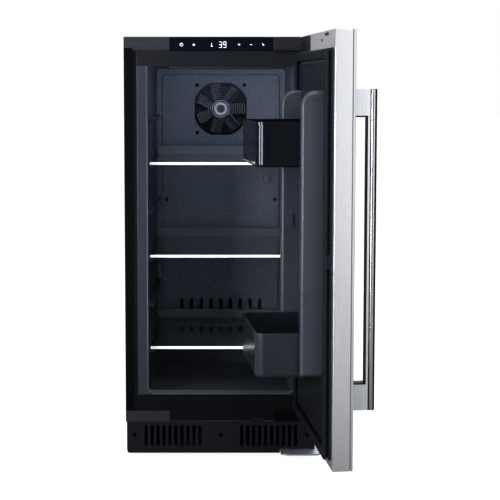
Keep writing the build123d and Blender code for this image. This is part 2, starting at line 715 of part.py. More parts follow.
def control_board():
    """Circuit board on the housing's posts."""
    face = FRONT + HOUSING_WALL + BOARD_STANDOFF
    height = (HOUSING_MIDDLE - BOARD_HEIGHT / 2, HOUSING_MIDDLE + BOARD_HEIGHT / 2)
    return block((-BOARD_HALF_WIDTH, BOARD_HALF_WIDTH), (face, face + BOARD_SHEET), height)


def control_panel():
    """Glossy touch panel across the top of the cabinet."""
    face = FRONT - PANEL_SHEET
    panel = block((-PANEL_HALF_WIDTH, PANEL_HALF_WIDTH), (face, FRONT), (PANEL_BOTTOM, TOP))
    return soften(panel, PANEL_EDGE, near(1, face))


def hole_cover(bottom):
    """Flat cover over the unused hinge holes on the left."""
    face = FRONT - HOLE_COVER_SHEET
    left = -SIDE + HOLE_COVER_EDGE
    right = left + HOLE_COVER_WIDTH - SEAT
    plate = block((left, right), (face, FRONT), (bottom, bottom + HOLE_COVER_HEIGHT))
    return soften(plate, HOLE_COVER_EDGE, near(1, face))


def hinge_hole_covers():
    """Upper and lower covers; the lower one has a pad that rests on the recessed liner flange."""
    upper = hole_cover(TOP - HOLE_COVER_HEIGHT)
    inner = -SIDE + RETURN_WIDTH + SEAT
    right = -SIDE + HOLE_COVER_EDGE + HOLE_COVER_WIDTH - SEAT
    pad = block((inner, right), (FRONT, FLANGE_FACE), (FLANGE_BOTTOM, KICK_TOP + HOLE_COVER_HEIGHT))
    return [upper, hole_cover(KICK_TOP) + pad]


def led_lamp():
    """Strip lamp under the ceiling of the liner."""
    front = FRONT + LAMP_FROM_FRONT
    across = (-LAMP_HALF_LENGTH, LAMP_HALF_LENGTH)
    lamp = block(across, (front, front + LAMP_WIDTH), (CAVITY_CEILING - LAMP_HEIGHT, CAVITY_CEILING))
    return soften(lamp, LAMP_ROUND, near(2, CAVITY_CEILING - LAMP_HEIGHT))


def kick_screw_points():
    """Seats of the three screws on the front of the kick plate."""
    reach = SIDE - KICK_SCREW_INSET
    return [(x, FRONT, KICK_TOP - KICK_SCREW_DROP) for x in (-reach, 0, reach)]


def kick_plate():
    """Slotted front cover of the plinth."""
    across = (-KICK_HALF_WIDTH, KICK_HALF_WIDTH)
    plate = block(across, (FRONT, FRONT + KICK_SHEET), (KICK_BOTTOM, KICK_TOP))
    plate = soften(plate, KICK_CORNER, along(Axis.Y), near(2, KICK_BOTTOM))
    through = (FRONT - KICK_SHEET, FRONT + 2 * KICK_SHEET)
    half_run = SLOT_PITCH * (SLOT_COUNT - 1) / 2
    for middle in (-SLOT_GROUP_OFFSET, SLOT_GROUP_OFFSET):
        for index in range(SLOT_COUNT):
            x = middle - half_run + SLOT_PITCH * index
            span = (KICK_BOTTOM + SLOT_RAISE, KICK_TOP - SLOT_DROP)
            plate -= upright_slot(x, through, span, SLOT_WIDTH)
    notch = (-KICK_NOTCH_WIDTH / 2, KICK_NOTCH_WIDTH / 2)
    plate -= block(notch, through, (KICK_TOP - KICK_NOTCH_DEPTH, KICK_TOP))
    exit_span = (FLOOR_PLATE_LEFT - SEAT, KICK_HALF_WIDTH)
    plate -= block(exit_span, through, (KICK_BOTTOM, BASE_BOTTOM + SEAT))
    tab = (KICK_TAB_LEFT, KICK_TAB_LEFT + KICK_TAB_WIDTH)
    plate += block(tab, (FRONT, FRONT + KICK_SHEET), (KICK_TOP, KICK_TOP + KICK_TAB_HEIGHT))
    for point in kick_screw_points():
        plate -= screw_hole(point, (0, 1, 0))
    return plate


# Shelves

def shelf_glass(top):
    """Toughened glass pane between its front and rear trims."""
    depth = (SHELF_FRONT + SHELF_FRONT_TRIM, SHELF_BACK - SHELF_REAR_TRIM)
    return block((-SHELF_HALF_WIDTH, SHELF_HALF_WIDTH), depth, (top - SHELF_GLASS, top))


def shelf_front_trim(top):
    """Bright edge strip on the front of a shelf."""
    height = (top - SHELF_GLASS - SHELF_TRIM_LIP, top + SHELF_TRIM_LIP)
    depth = (SHELF_FRONT, SHELF_FRONT + SHELF_FRONT_TRIM)
    strip = block((-SHELF_HALF_WIDTH, SHELF_HALF_WIDTH), depth, height)
    return soften(strip, SHELF_TRIM_ROUND, along(Axis.X), near(1, SHELF_FRONT))


def shelf_rear_trim(top):
    """Upstand on the back edge of a shelf."""
    depth = (SHELF_BACK - SHELF_REAR_TRIM, SHELF_BACK)
    height = (top - SHELF_GLASS, top + SHELF_REAR_HEIGHT)
    return block((-SHELF_HALF_WIDTH, SHELF_HALF_WIDTH), depth, height)


# Rear air panel and the fan

def fan_corners(half):
    """The four corners of a square in the plane of the air panel."""
    return [(x, FAN_HEIGHT + z) for x in (-half, half) for z in (-half, half)]


def air_panel():
    """Moulded panel in front of the evaporator, with the fan opening and return slots."""
    half = CAVITY_HALF_WIDTH - 2 * SEAT
    low = HUMP_TOP + SEAT
    high = CAVITY_CEILING - 2 * SEAT
    plate = block((-half, half), (AIR_PANEL_FACE, AIR_PANEL_BACK), (low, high))
    plate = soften(plate, CAVITY_CORNER, along(Axis.Y), near(2, high))
    field_half = half - AIR_FIELD_INSET
    span = (low + AIR_FIELD_INSET, high - AIR_FIELD_INSET)
    field = block((-field_half, field_half), (AIR_FIELD_FACE, AIR_PANEL_FACE), span)
    field = soften(field, CAVITY_CORNER, along(Axis.Y))
    field = soften(field, AIR_FIELD_ROUND, near(1, AIR_FIELD_FACE))
    plate += field
    plate -= grille_outline(AIR_FIELD_FACE, AIR_PANEL_BACK, SEAT)
    through = (AIR_FIELD_FACE, AIR_PANEL_BACK)
    first = -RETURN_SLOT_PITCH * (RETURN_SLOT_COUNT - 1) / 2
    low += RETURN_SLOT_RAISE
    rise = (low, low + RETURN_SLOT_HEIGHT)
    for index in range(RETURN_SLOT_COUNT):
        x = first + RETURN_SLOT_PITCH * index
        plate -= upright_slot(x, through, rise, RETURN_SLOT_WIDTH)
    for point in air_screw_points():
        plate -= screw_hole(point, (0, 1, 0))
    return plate


def air_screw_points():
    """Seats of the fan's four screws and the panel's two screws."""
    places = fan_corners(FAN_SCREW_PITCH / 2)
    reach = CAVITY_HALF_WIDTH - FIELD_SCREW_INSET
    places += [(x, HUMP_TOP + FIELD_SCREW_RAISE) for x in (-reach, reach)]
    return [(x, AIR_FIELD_FACE, z) for x, z in places]


def grille_outline(front, back, extra):
    """A disc with four flats, as the fan opening has."""
    disc = rod(GRILLE_RADIUS + extra, (0, front, FAN_HEIGHT), (0, back, FAN_HEIGHT))
    flat = GRILLE_FLAT + extra
    return disc & block((-flat, flat), (front, back), (FAN_HEIGHT - flat, FAN_HEIGHT + flat))


def fan_grille():
    """Ring guard over the fan with a plain ringed boss in the middle."""
    front = AIR_PANEL_BACK - GRILLE_SHEET
    guard = grille_outline(front, AIR_PANEL_BACK, 0)
    spokes = Box(2 * GRILLE_RADIUS, GRILLE_SPOKE, 4 * GRILLE_SHEET)
    spokes += Box(GRILLE_SPOKE, 2 * GRILLE_RADIUS, 4 * GRILLE_SHEET)
    face = Plane(origin=(0, front, FAN_HEIGHT), x_dir=(1, 0, 1), z_dir=(0, 1, 0))
    spokes = face * spokes
    for index in range(GRILLE_GAP_COUNT):
        inner = GRILLE_BOSS + GRILLE_PITCH * index
        gap = fan_disc(inner + GRILLE_GAP, front, AIR_PANEL_BACK)
        gap -= fan_disc(inner, front, AIR_PANEL_BACK)
        guard -= gap - spokes
    boss = fan_disc(GRILLE_BOSS - GRILLE_BOSS_PROUD, front - GRILLE_BOSS_PROUD, front)
    for radius in GRILLE_GROOVE_RADII:
        groove = fan_disc(radius, front - GRILLE_BOSS_PROUD, front)
        boss -= groove - fan_disc(radius - GRILLE_BOSS_PROUD, front - GRILLE_BOSS_PROUD, front)
    return guard + boss


def fan_disc(radius, front, back):
    """A disc on the fan's axis."""
    return rod(radius, (0, front, FAN_HEIGHT), (0, back, FAN_HEIGHT))


def fan_housing():
    """Square fan frame with its motor boss, struts and shaft, drawn on +Z from its front."""
    frame = Pos(0, 0, FAN_DEPTH / 2) * Box(FAN_SIZE, FAN_SIZE, FAN_DEPTH)
    frame = soften(frame, FAN_CORNER, along(Axis.Z))
    frame -= rod(FAN_BORE, (0, 0, 0), (0, 0, FAN_DEPTH))
    half = FAN_SCREW_PITCH / 2
    for x in (-half, half):
        for y in (-half, half):
            frame -= rod(SCREW_SHANK_RADIUS + SCREW_CLEARANCE, (x, y, 0), (x, y, FAN_DEPTH))
    back = (0, 0, FAN_DEPTH)
    boss_front = FAN_DEPTH - FAN_MOTOR_DEPTH
    frame += rod(FAN_MOTOR, (0, 0, boss_front), back)
    ring = rod(FAN_BORE + SHEET, (0, 0, boss_front), back)
    for angle in (0, 90):
        bar = Rot(Z=45 + angle) * Box(2 * FAN_SIZE, FAN_STRUT, FAN_STRUT)
        frame += Pos(0, 0, FAN_DEPTH - FAN_STRUT / 2) * bar & ring
    return frame + rod(FAN_SHAFT, (0, 0, 2 * AXIAL_GAP + FAN_BLADE_SHEET), (0, 0, boss_front))


def fan_wheel():
    """Hub and pitched blades of a fan, bored for its shaft, drawn on +Z from its front."""
    back = FAN_DEPTH - FAN_MOTOR_DEPTH - AXIAL_GAP
    wheel = rod(FAN_HUB, (0, 0, AXIAL_GAP), (0, 0, back))
    wheel = soften(wheel, AXIAL_GAP, near(2, AXIAL_GAP))
    middle = (AXIAL_GAP + back) / 2
    tip = FAN_BORE - FAN_TIP_GAP
    reach = rod(tip, (0, 0, AXIAL_GAP), (0, 0, back)) - rod(FAN_HUB / 2, (0, 0, 0), (0, 0, FAN_DEPTH))
    for index in range(FAN_BLADE_COUNT):
        turn = Rot(Z=360 * index / FAN_BLADE_COUNT)
        blade = Rot(X=FAN_BLADE_PITCH) * Box(FAN_BORE, FAN_BLADE_CHORD, FAN_BLADE_SHEET)
        wheel += (turn * Pos(FAN_BORE / 2 + AXIAL_GAP, 0, middle) * blade) & reach
    bore_front = AXIAL_GAP + FAN_BLADE_SHEET
    return wheel - rod(FAN_SHAFT + RUNNING_FIT, (0, 0, bore_front), (0, 0, FAN_DEPTH))


def evaporator_fan_seat():
    """Where the evaporator fan stands behind the air panel."""
    return Plane(origin=(0, AIR_PANEL_BACK, FAN_HEIGHT), x_dir=(1, 0, 0), z_dir=(0, 1, 0))


def cooling_fan_seat():
    """Where the condenser fan stands beside the condenser."""
    x = CONDENSER_LEFT + CONDENSER_LENGTH + COOLING_FAN_GAP
    return Plane(origin=(x, MACHINE_MIDDLE, MACHINE_FLOOR + FAN_SIZE / 2), x_dir=(0, 1, 0), z_dir=(1, 0, 0))


def thermistor():
    """Clipped temperature sensor on the air panel."""
    left = CAVITY_HALF_WIDTH - SENSOR_INSET
    low = HUMP_TOP + SENSOR_RAISE
    front = AIR_FIELD_FACE - SENSOR_DEPTH
    cap = block((left, left + SENSOR_WIDTH), (front, AIR_FIELD_FACE), (low, low + SENSOR_HEIGHT))
    return soften(cap, SENSOR_ROUND, near(1, front))


def fin_coil_path(start, run, rise, rows, pitch):
    """Corner points of a serpentine with straight rows joined by returns."""
    points = []
    for row in range(rows):
        left = Vector(*start) + Vector(*rise) * (pitch * row)
        right = left + Vector(*run)
        points += [left, right] if row % 2 == 0 else [right, left]
    return points


def evaporator_tube():
    """Serpentine of the evaporator."""
    start = (-EVAPORATOR_HALF_WIDTH, EVAPORATOR_MIDDLE, EVAPORATOR_BOTTOM + EVAPORATOR_ROW_PITCH / 2)
    run = (2 * EVAPORATOR_HALF_WIDTH, 0, 0)
    points = fin_coil_path(start, run, (0, 0, 1), EVAPORATOR_ROW_COUNT, EVAPORATOR_ROW_PITCH)
    return pipe(COIL_TUBE, points, EVAPORATOR_ROW_PITCH * COIL_BEND_SHARE)


def evaporator_fins():
    """Row of thin fins with clearance holes for the serpentine."""
    height = (EVAPORATOR_BOTTOM, EVAPORATOR_TOP)
    depth = (EVAPORATOR_BACK - EVAPORATOR_DEPTH, EVAPORATOR_BACK)
    room = EVAPORATOR_HALF_WIDTH - EVAPORATOR_ROW_PITCH * COIL_END_SHARE
    step = 2 * room / (EVAPORATOR_FIN_COUNT - 1)
    y = EVAPORATOR_MIDDLE
    fins = []
    for index in range(EVAPORATOR_FIN_COUNT):
        x = -room + step * index
        fin = block((x, x + COIL_FIN_SHEET), depth, height)
        for row in range(EVAPORATOR_ROW_COUNT):
            z = EVAPORATOR_BOTTOM + EVAPORATOR_ROW_PITCH * (row + 0.5)
            fin -= rod(COIL_TUBE + COIL_FIN_CLEARANCE, (x, y, z), (x + COIL_FIN_SHEET, y, z))
        fins.append(fin)
    return fins


def drain_trough():
    """Trough under the evaporator with an outlet over the drain tube."""
    across = (-TROUGH_HALF_WIDTH, TROUGH_HALF_WIDTH)
    depth = (AIR_PANEL_BACK + SEAT, CAVITY_BACK - SEAT)
    trough = block(across, depth, (TROUGH_BOTTOM, TROUGH_TOP))
    room = TROUGH_HALF_WIDTH - TROUGH_SHEET
    trough -= block(
        (-room, room),
        (depth[0] + TROUGH_SHEET, depth[1] - TROUGH_SHEET),
        (TROUGH_BOTTOM + TROUGH_SHEET, TROUGH_TOP),
    )
    outlet = rod(DRAIN_RADIUS - DRAIN_WALL, (DRAIN_X, DRAIN_Y, 0), (DRAIN_X, DRAIN_Y, TOP))
    return trough - outlet


def drain_tube():
    """Tube that takes melt water from the trough down to the drip tray."""
    low = TRAY_BOTTOM + TRAY_HEIGHT / 2
    ends = (DRAIN_X, DRAIN_Y, low), (DRAIN_X, DRAIN_Y, TROUGH_BOTTOM)
    return rod(DRAIN_RADIUS, *ends) - rod(DRAIN_RADIUS - DRAIN_WALL, *ends)


# Machine compartment

def compressor():
    """Hermetic shell with a rolled seam, on its foot plate."""
    low = COMPRESSOR_BOTTOM + COMPRESSOR_PLATE_SHEET
    mid = Plane.XY.offset(low) * Pos(COMPRESSOR_X, MACHINE_MIDDLE)
    outline = Ellipse(COMPRESSOR_LENGTH / 2, COMPRESSOR_DEPTH / 2)
    shell = extrude(mid * outline, COMPRESSOR_HEIGHT)
    shell = fillet(shell.edges().sort_by(Axis.Z)[-1], COMPRESSOR_CROWN)
    seam = Ellipse(COMPRESSOR_LENGTH / 2 + COMPRESSOR_SEAM, COMPRESSOR_DEPTH / 2 + COMPRESSOR_SEAM)
    shell += Pos(0, 0, COMPRESSOR_HEIGHT / 2) * extrude(mid * seam, COMPRESSOR_SEAM_HEIGHT)
    half_length = COMPRESSOR_PLATE_LENGTH / 2
    half_depth = COMPRESSOR_PLATE_DEPTH / 2
    wide = (COMPRESSOR_X - half_length, COMPRESSOR_X + half_length)
    deep = (MACHINE_MIDDLE - half_depth, MACHINE_MIDDLE + half_depth)
    plate = block(wide, deep, (low - COMPRESSOR_PLATE_SHEET, low))
    return shell + soften(plate, GROMMET_INSET, along(Axis.Z))


def compressor_grommets():
    """Four rubber feet between the foot plate and the base pan."""
    x_reach = COMPRESSOR_PLATE_LENGTH / 2 - GROMMET_INSET
    y_reach = COMPRESSOR_PLATE_DEPTH / 2 - GROMMET_INSET
    feet = []
    for x in (COMPRESSOR_X - x_reach, COMPRESSOR_X + x_reach):
        for y in (MACHINE_MIDDLE - y_reach, MACHINE_MIDDLE + y_reach):
            feet.append(rod(GROMMET_RADIUS, (x, y, MACHINE_FLOOR), (x, y, COMPRESSOR_BOTTOM)))
    return feet


def relay_box():
    """Terminal cover with the start relay, against the left of the compressor's shell."""
    right = COMPRESSOR_X - COMPRESSOR_LENGTH / 2 + RELAY_OVERLAP
    low = COMPRESSOR_BOTTOM + COMPRESSOR_PLATE_SHEET + COMPRESSOR_SEAM
    half = RELAY_DEPTH / 2
    rise = (low, low + RELAY_HEIGHT)
    box = block((right - RELAY_LENGTH, right), (MACHINE_MIDDLE - half, MACHINE_MIDDLE + half), rise)
    box = soften(box, RELAY_ROUND, along(Axis.Y))
    mid = Plane.XY.offset(COMPRESSOR_BOTTOM) * Pos(COMPRESSOR_X, MACHINE_MIDDLE)
    room = Ellipse(COMPRESSOR_LENGTH / 2 + SEAT, COMPRESSOR_DEPTH / 2 + SEAT)
    return box - extrude(mid * room, CABINET_HEIGHT)


def drip_tray():
    """Shallow evaporation tray on the compressor."""
    half_length = TRAY_LENGTH / 2
    half_depth = TRAY_DEPTH / 2
    low = TRAY_BOTTOM
    wide = (COMPRESSOR_X - half_length, COMPRESSOR_X + half_length)
    deep = (MACHINE_MIDDLE - half_depth, MACHINE_MIDDLE + half_depth)
    tray = soften(block(wide, deep, (low, low + TRAY_HEIGHT)), COIL_TUBE, along(Axis.Z))
    inside = block(
        (wide[0] + TRAY_SHEET, wide[1] - TRAY_SHEET),
        (deep[0] + TRAY_SHEET, deep[1] - TRAY_SHEET),
        (low + TRAY_SHEET, low + TRAY_HEIGHT),
    )
    return tray - inside


def condenser_x():
    """Middle of the condenser's fins."""
    return CONDENSER_LEFT + CONDENSER_LENGTH / 2


def condenser_row(row):
    """Height of one row of the condenser's serpentine."""
    return CONDENSER_BOTTOM + CONDENSER_ROW_PITCH * (row + 0.5)


def condenser_tube():
    """Serpentine of the condenser."""
    start = (condenser_x(), CONDENSER_FRONT, condenser_row(0))
    run = (0, CONDENSER_BACK - CONDENSER_FRONT, 0)
    points = fin_coil_path(start, run, (0, 0, 1), CONDENSER_ROW_COUNT, CONDENSER_ROW_PITCH)
    return pipe(COIL_TUBE, points, CONDENSER_ROW_PITCH * COIL_BEND_SHARE)


def condenser_fins():
    """Stack of thin fins with holes for the serpentine; two of them stand on the base pan."""
    margin = CONDENSER_ROW_PITCH * COIL_END_SHARE
    first = CONDENSER_FRONT + margin
    step = (CONDENSER_BACK - margin - first) / (CONDENSER_FIN_COUNT - 1)
    wide = (CONDENSER_LEFT, CONDENSER_LEFT + CONDENSER_LENGTH)
    standing = (CONDENSER_STANDING_INDEX, CONDENSER_FIN_COUNT - 1 - CONDENSER_STANDING_INDEX)
    x = condenser_x()
    fins = []
    for index in range(CONDENSER_FIN_COUNT):
        y = first + step * index
        foot = MACHINE_FLOOR if index in standing else CONDENSER_BOTTOM
        fin = block(wide, (y, y + COIL_FIN_SHEET), (foot, CONDENSER_TOP))
        for row in range(CONDENSER_ROW_COUNT):
            z = condenser_row(row)
            fin -= rod(COIL_TUBE + COIL_FIN_CLEARANCE, (x, y, z), (x, y + COIL_FIN_SHEET, z))
        fins.append(fin)
    return fins


def drier_point():
    """Lower end of the filter drier, which stands behind the cooling fan."""
    x = cooling_fan_seat().origin.X + FAN_DEPTH / 2
    return Vector(x, MACHINE_MIDDLE + FAN_SIZE / 2 + DRIER_RADIUS + SEAT, MACHINE_FLOOR)


def filter_drier():
    """Copper drier cartridge clipped to the side of the cooling fan."""
    low = drier_point()
    high = low + Vector(0, 0, DRIER_LENGTH)
    body = rod(DRIER_RADIUS, low, high)
    return fillet(body.edges().filter_by(GeomType.CIRCLE), DRIER_ROUND)


def refrigerant_lines():
    """Discharge line to the condenser, liquid line from the drier and suction line."""
    run_y = CONDENSER_BACK + PIPE_OFFSET
    top_row = condenser_row(CONDENSER_ROW_COUNT - 1)
    crown = TRAY_BOTTOM - COMPRESSOR_CROWN - PIPE_RADIUS
    roof = DECK_ROOF - DECK_SHEET - SEAT
    drier = drier_point() + Vector(0, 0, DRIER_LENGTH)
    rise_x = drier.X + PIPE_RISE_OFFSET
    shell_front = MACHINE_MIDDLE - COMPRESSOR_DEPTH / 2
    shell_back = MACHINE_MIDDLE + COMPRESSOR_DEPTH / 2
    discharge = [
        (COMPRESSOR_X, shell_back, crown),
        (COMPRESSOR_X, run_y, crown),
        (rise_x, run_y, crown),
        (rise_x, run_y, top_row),
        (condenser_x(), run_y, top_row),
        (condenser_x(), CONDENSER_BACK, top_row),
    ]
    liquid = [
        (drier.X, drier.Y, drier.Z),
        (drier.X, drier.Y, drier.Z + 2 * PIPE_OFFSET),
        (rise_x, drier.Y, drier.Z + 2 * PIPE_OFFSET),
        (rise_x, drier.Y, roof),
    ]
    suction_y = (MACHINE_FRONT + shell_front) / 2
    suction = [
        (COMPRESSOR_X, shell_front, crown),
        (COMPRESSOR_X, suction_y, crown),
        (COMPRESSOR_X, suction_y, roof),
    ]
    return [pipe(PIPE_RADIUS, points, PIPE_BEND) for points in (discharge, liquid, suction)]


def access_edges():
    """Half-width, bottom and top of the rear access cover."""
    return SIDE - BASE_INSET - BASE_SHEET - SEAT, MACHINE_FLOOR + SEAT, DECK_ROOF - DECK_SHEET - SEAT


def access_cover():
    """Louvred cover over the machine compartment."""
    half, low, high = access_edges()
    skin = (REAR_SKIN - ACCESS_SHEET, REAR_SKIN)
    cover = block((-half, half), skin, (low, high))
    middle = (low + high) / 2
    column_step = ACCESS_SLOT_LENGTH + ACCESS_SLOT_HEIGHT * 2
    first = -column_step * (ACCESS_COLUMN_COUNT - 1) / 2
    for column in range(ACCESS_COLUMN_COUNT):
        x = first + column_step * column
        for row in range(ACCESS_ROW_COUNT):
            z = middle + ACCESS_SLOT_PITCH * (row - (ACCESS_ROW_COUNT - 1) / 2)
            slot = block(
                (x - ACCESS_SLOT_LENGTH / 2, x + ACCESS_SLOT_LENGTH / 2),
                skin,
                (z - ACCESS_SLOT_HEIGHT / 2, z + ACCESS_SLOT_HEIGHT / 2),
            )
            cover -= soften(slot, ACCESS_SLOT_ROUND, along(Axis.Y))
    for point in access_screw_points():
        cover -= screw_hole(point, (0, -1, 0))
    return cover - rod(INLET_HOLE, (INLET_X, skin[0], INLET_Z), (INLET_X, REAR, INLET_Z))


def access_screw_points():
    """Seats of the four screws in the access cover's corners."""
    half, low, high = access_edges()
    inset = ACCESS_SCREW_INSET
    return [(x, REAR_SKIN, z) for x in (inset - half, half - inset) for z in (low + inset, high - inset)]


def power_inlet():
    """Round gland for the mains lead in the access cover."""
    cover_face = REAR_SKIN - ACCESS_SHEET
    start = (INLET_X, cover_face, INLET_Z)
    face = (INLET_X, REAR_SKIN, INLET_Z)
    end = (INLET_X, REAR_SKIN + INLET_PROUD, INLET_Z)
    gland = rod(INLET_HOLE - SEAT, start, face)
    collar = rod(INLET_RADIUS, face, end)
    collar = soften(collar, INLET_ROUND, near(1, REAR_SKIN + INLET_PROUD))
    return gland + collar - rod(INLET_BORE, start, end)


def leg_places():
    """Middles of the four levelling legs."""
    front = LEG_FROM_FRONT - CABINET_DEPTH / 2
    back = CABINET_DEPTH / 2 - LEG_FROM_BACK
    return [(x, y) for y in (front, back) for x in (-LEG_X, LEG_X)]


def levelling_leg(x, y):
    """Screw foot that threads up into a nut on the base pan."""
    foot = rod(LEG_FOOT_RADIUS, (x, y, 0), (x, y, LEG_FOOT_HEIGHT))
    foot = soften(foot, LEG_FOOT_ROUND, near(2, LEG_FOOT_HEIGHT))
    return foot + rod(LEG_STEM_RADIUS, (x, y, LEG_FOOT_HEIGHT), (x, y, LEG_STEM_TOP))


def floor_plate():
    """Zinc-plated tie-down plate under the right front corner, with a slot for a floor screw."""
    high = BASE_BOTTOM
    low = high - FLOOR_PLATE_SHEET
    front = FRONT - FLOOR_PLATE_REACH
    plate = block((FLOOR_PLATE_LEFT, FLOOR_PLATE_RIGHT), (front, FRONT + FLOOR_PLATE_HIDDEN), (low, high))
    plate = soften(plate, FLOOR_PLATE_ROUND, along(Axis.Z), near(1, front))
    slot_y = front + FLOOR_SLOT_FROM_EDGE
    half = FLOOR_SLOT_WIDTH / 2
    reach = FLOOR_SLOT_LENGTH / 2 - half
    span = (FLOOR_SLOT_X - reach, FLOOR_SLOT_X + reach)
    for x in span:
        plate -= rod(half, (x, slot_y, low), (x, slot_y, high))
    return plate - block(span, (slot_y - half, slot_y + half), (low, high))


# Door, drawn closed: u runs from the hinge axis to the free edge, v from the inner face inwards

def door_block(u, v, z):
    """A box in door distances."""
    return block((HINGE_X - u[1], HINGE_X - u[0]), (DOOR_INNER + v[0], DOOR_INNER + v[1]), z)


def open_door(shape):
    """Swing a closed door piece to the rest angle."""
    axis = Axis((HINGE_X, HINGE_Y, 0), (0, 0, 1))
    return shape.rotate(axis, DOOR_REST_ANGLE)


def arm_pocket():
    """Space that the upper hinge arm needs inside the door over the whole swing."""
    left = -UPPER_ARM_OFFSET - UPPER_ARM_WIDTH / 2 - ARM_CLEARANCE
    front = HINGE_Y - UPPER_EYE_RADIUS - ARM_END_CLEARANCE
    low = UPPER_ARM_BOTTOM - ARM_CLEARANCE
    high = UPPER_ARM_BOTTOM + UPPER_ARM_SHEET + ARM_CLEARANCE
    return block((HINGE_X + left, SIDE), (front, FRONT), (low, high))


def bush_room(radius, low, high):
    """A round hole on the hinge axis."""
    return rod(radius, (HINGE_X, HINGE_Y, low), (HINGE_X, HINGE_Y, high))


def door_front_panel():
    """Stainless outer skin."""
    back = DOOR_OUTER + DOOR_FRONT_PANEL
    panel = block((-SIDE, SIDE), (DOOR_OUTER, back), (DOOR_BOTTOM, DOOR_TOP))
    panel = soften(panel, DOOR_EDGE_ROUND, near(1, DOOR_OUTER))
    for point in handle_screw_points():
        panel -= rod(HANDLE_SCREW_RADIUS + SCREW_CLEARANCE, point, (point[0], back, point[2]))
    return panel


def door_frame():
    """Folded stainless frame behind the outer skin, with the inner flange."""
    front = DOOR_OUTER + DOOR_FRONT_PANEL + DOOR_SEAM
    frame = block((-SIDE, SIDE), (front, DOOR_INNER), (DOOR_BOTTOM, DOOR_TOP))
    frame = soften(frame, DOOR_FRAME_ROUND, along(Axis.Y))
    frame = soften(frame, DOOR_FRAME_ROUND, near(1, DOOR_INNER))
    room = SIDE - DOOR_SHEET
    span = (DOOR_BOTTOM + DOOR_SHEET, DOOR_TOP - DOOR_SHEET)
    frame -= block((-room, room), (front, DOOR_INNER - DOOR_SHEET), span)
    hole_half = SIDE - DOOR_FLANGE_SIDE - DOOR_FLANGE_UNDER
    rise = (GASKET_BOTTOM + DOOR_FLANGE_UNDER, GASKET_TOP - DOOR_FLANGE_UNDER)
    frame -= block((-hole_half, hole_half), (front, DOOR_INNER), rise)
    frame -= arm_pocket()
    frame -= bush_room(LOWER_BUSH_RADIUS + FIT, DOOR_BOTTOM, DOOR_BOTTOM + DOOR_SHEET)
    frame -= flange_slot(SHORT_SLOT_FROM_HINGE, SHORT_SLOT_LENGTH, SHORT_SLOT_DROP)
    return frame - flange_slot(LONG_SLOT_FROM_HINGE, LONG_SLOT_LENGTH, LONG_SLOT_DROP)


def flange_slot(from_hinge, length, drop):
    """A round-ended slot through the top of the frame's inner flange."""
    x, z = HINGE_X - from_hinge, DOOR_TOP - drop
    half = FLANGE_SLOT_WIDTH / 2
    reach = length / 2 - half
    depth = (DOOR_INNER - DOOR_SHEET, DOOR_INNER)
    slot = block((x - reach, x + reach), depth, (z - half, z + half))
    for end in (x - reach, x + reach):
        slot += rod(half, (end, depth[0], z), (end, depth[1], z))
    return slot


def liner_core():
    """The space behind the door liner that its foam fills."""
    skin = DOOR_LINER_SHEET
    near_u, far_u, low, high = field_edges()
    inset = 2 * skin
    core = door_block((near_u + inset, far_u - inset), (0, DOOR_FIELD - skin), (low + inset, high - inset))
    for u in (DIKE_NEAR, DIKE_FAR - DIKE_WIDTH):
        inside = (u + skin, u + DIKE_WIDTH - skin)
        rise = (DIKE_BOTTOM + DIKE_FOOT_ROUND, DIKE_TOP - DIKE_TOP_ROUND)
        core += door_block(inside, (0, DIKE_PROUD - skin), rise)
    return core


def door_foam():
    """Foamed-in core of the door."""
    half = SIDE - DOOR_SHEET - FIT
    front = DOOR_OUTER + DOOR_FRONT_PANEL
    back = DOOR_INNER - DOOR_SHEET
    span = (DOOR_BOTTOM + DOOR_SHEET + FIT, DOOR_TOP - DOOR_SHEET - FIT)
    foam = block((-half, half), (front, back), span)
    hole_half = SIDE - DOOR_FLANGE_SIDE - DOOR_FLANGE_UNDER - FIT
    rise = (GASKET_BOTTOM + DOOR_FLANGE_UNDER + FIT, GASKET_TOP - DOOR_FLANGE_UNDER - FIT)
    foam += block((-hole_half, hole_half), (back, DOOR_INNER), rise)
    foam += liner_core()
    foam -= arm_pocket()
    foam -= bush_room(LOWER_BUSH_RADIUS + FIT, DOOR_BOTTOM, DOOR_BOTTOM + LOWER_BUSH_DEPTH)
    foam -= bush_room(UPPER_BUSH_RADIUS + FIT, UPPER_ARM_BOTTOM, DOOR_TOP)
    for x, y, z in handle_screw_points():
        foam -= rod(HANDLE_SCREW_RADIUS + SCREW_CLEARANCE, (x, y, z), (x, y + handle_screw_length(), z))
    return foam


def field_edges():
    """Near and far ends, bottom and top of the door liner's raised field."""
    skin = DOOR_LINER_SHEET
    inner = GASKET_WIDTH + skin
    return GASKET_NEAR + inner, GASKET_FAR - inner, GASKET_BOTTOM + inner, GASKET_TOP - inner


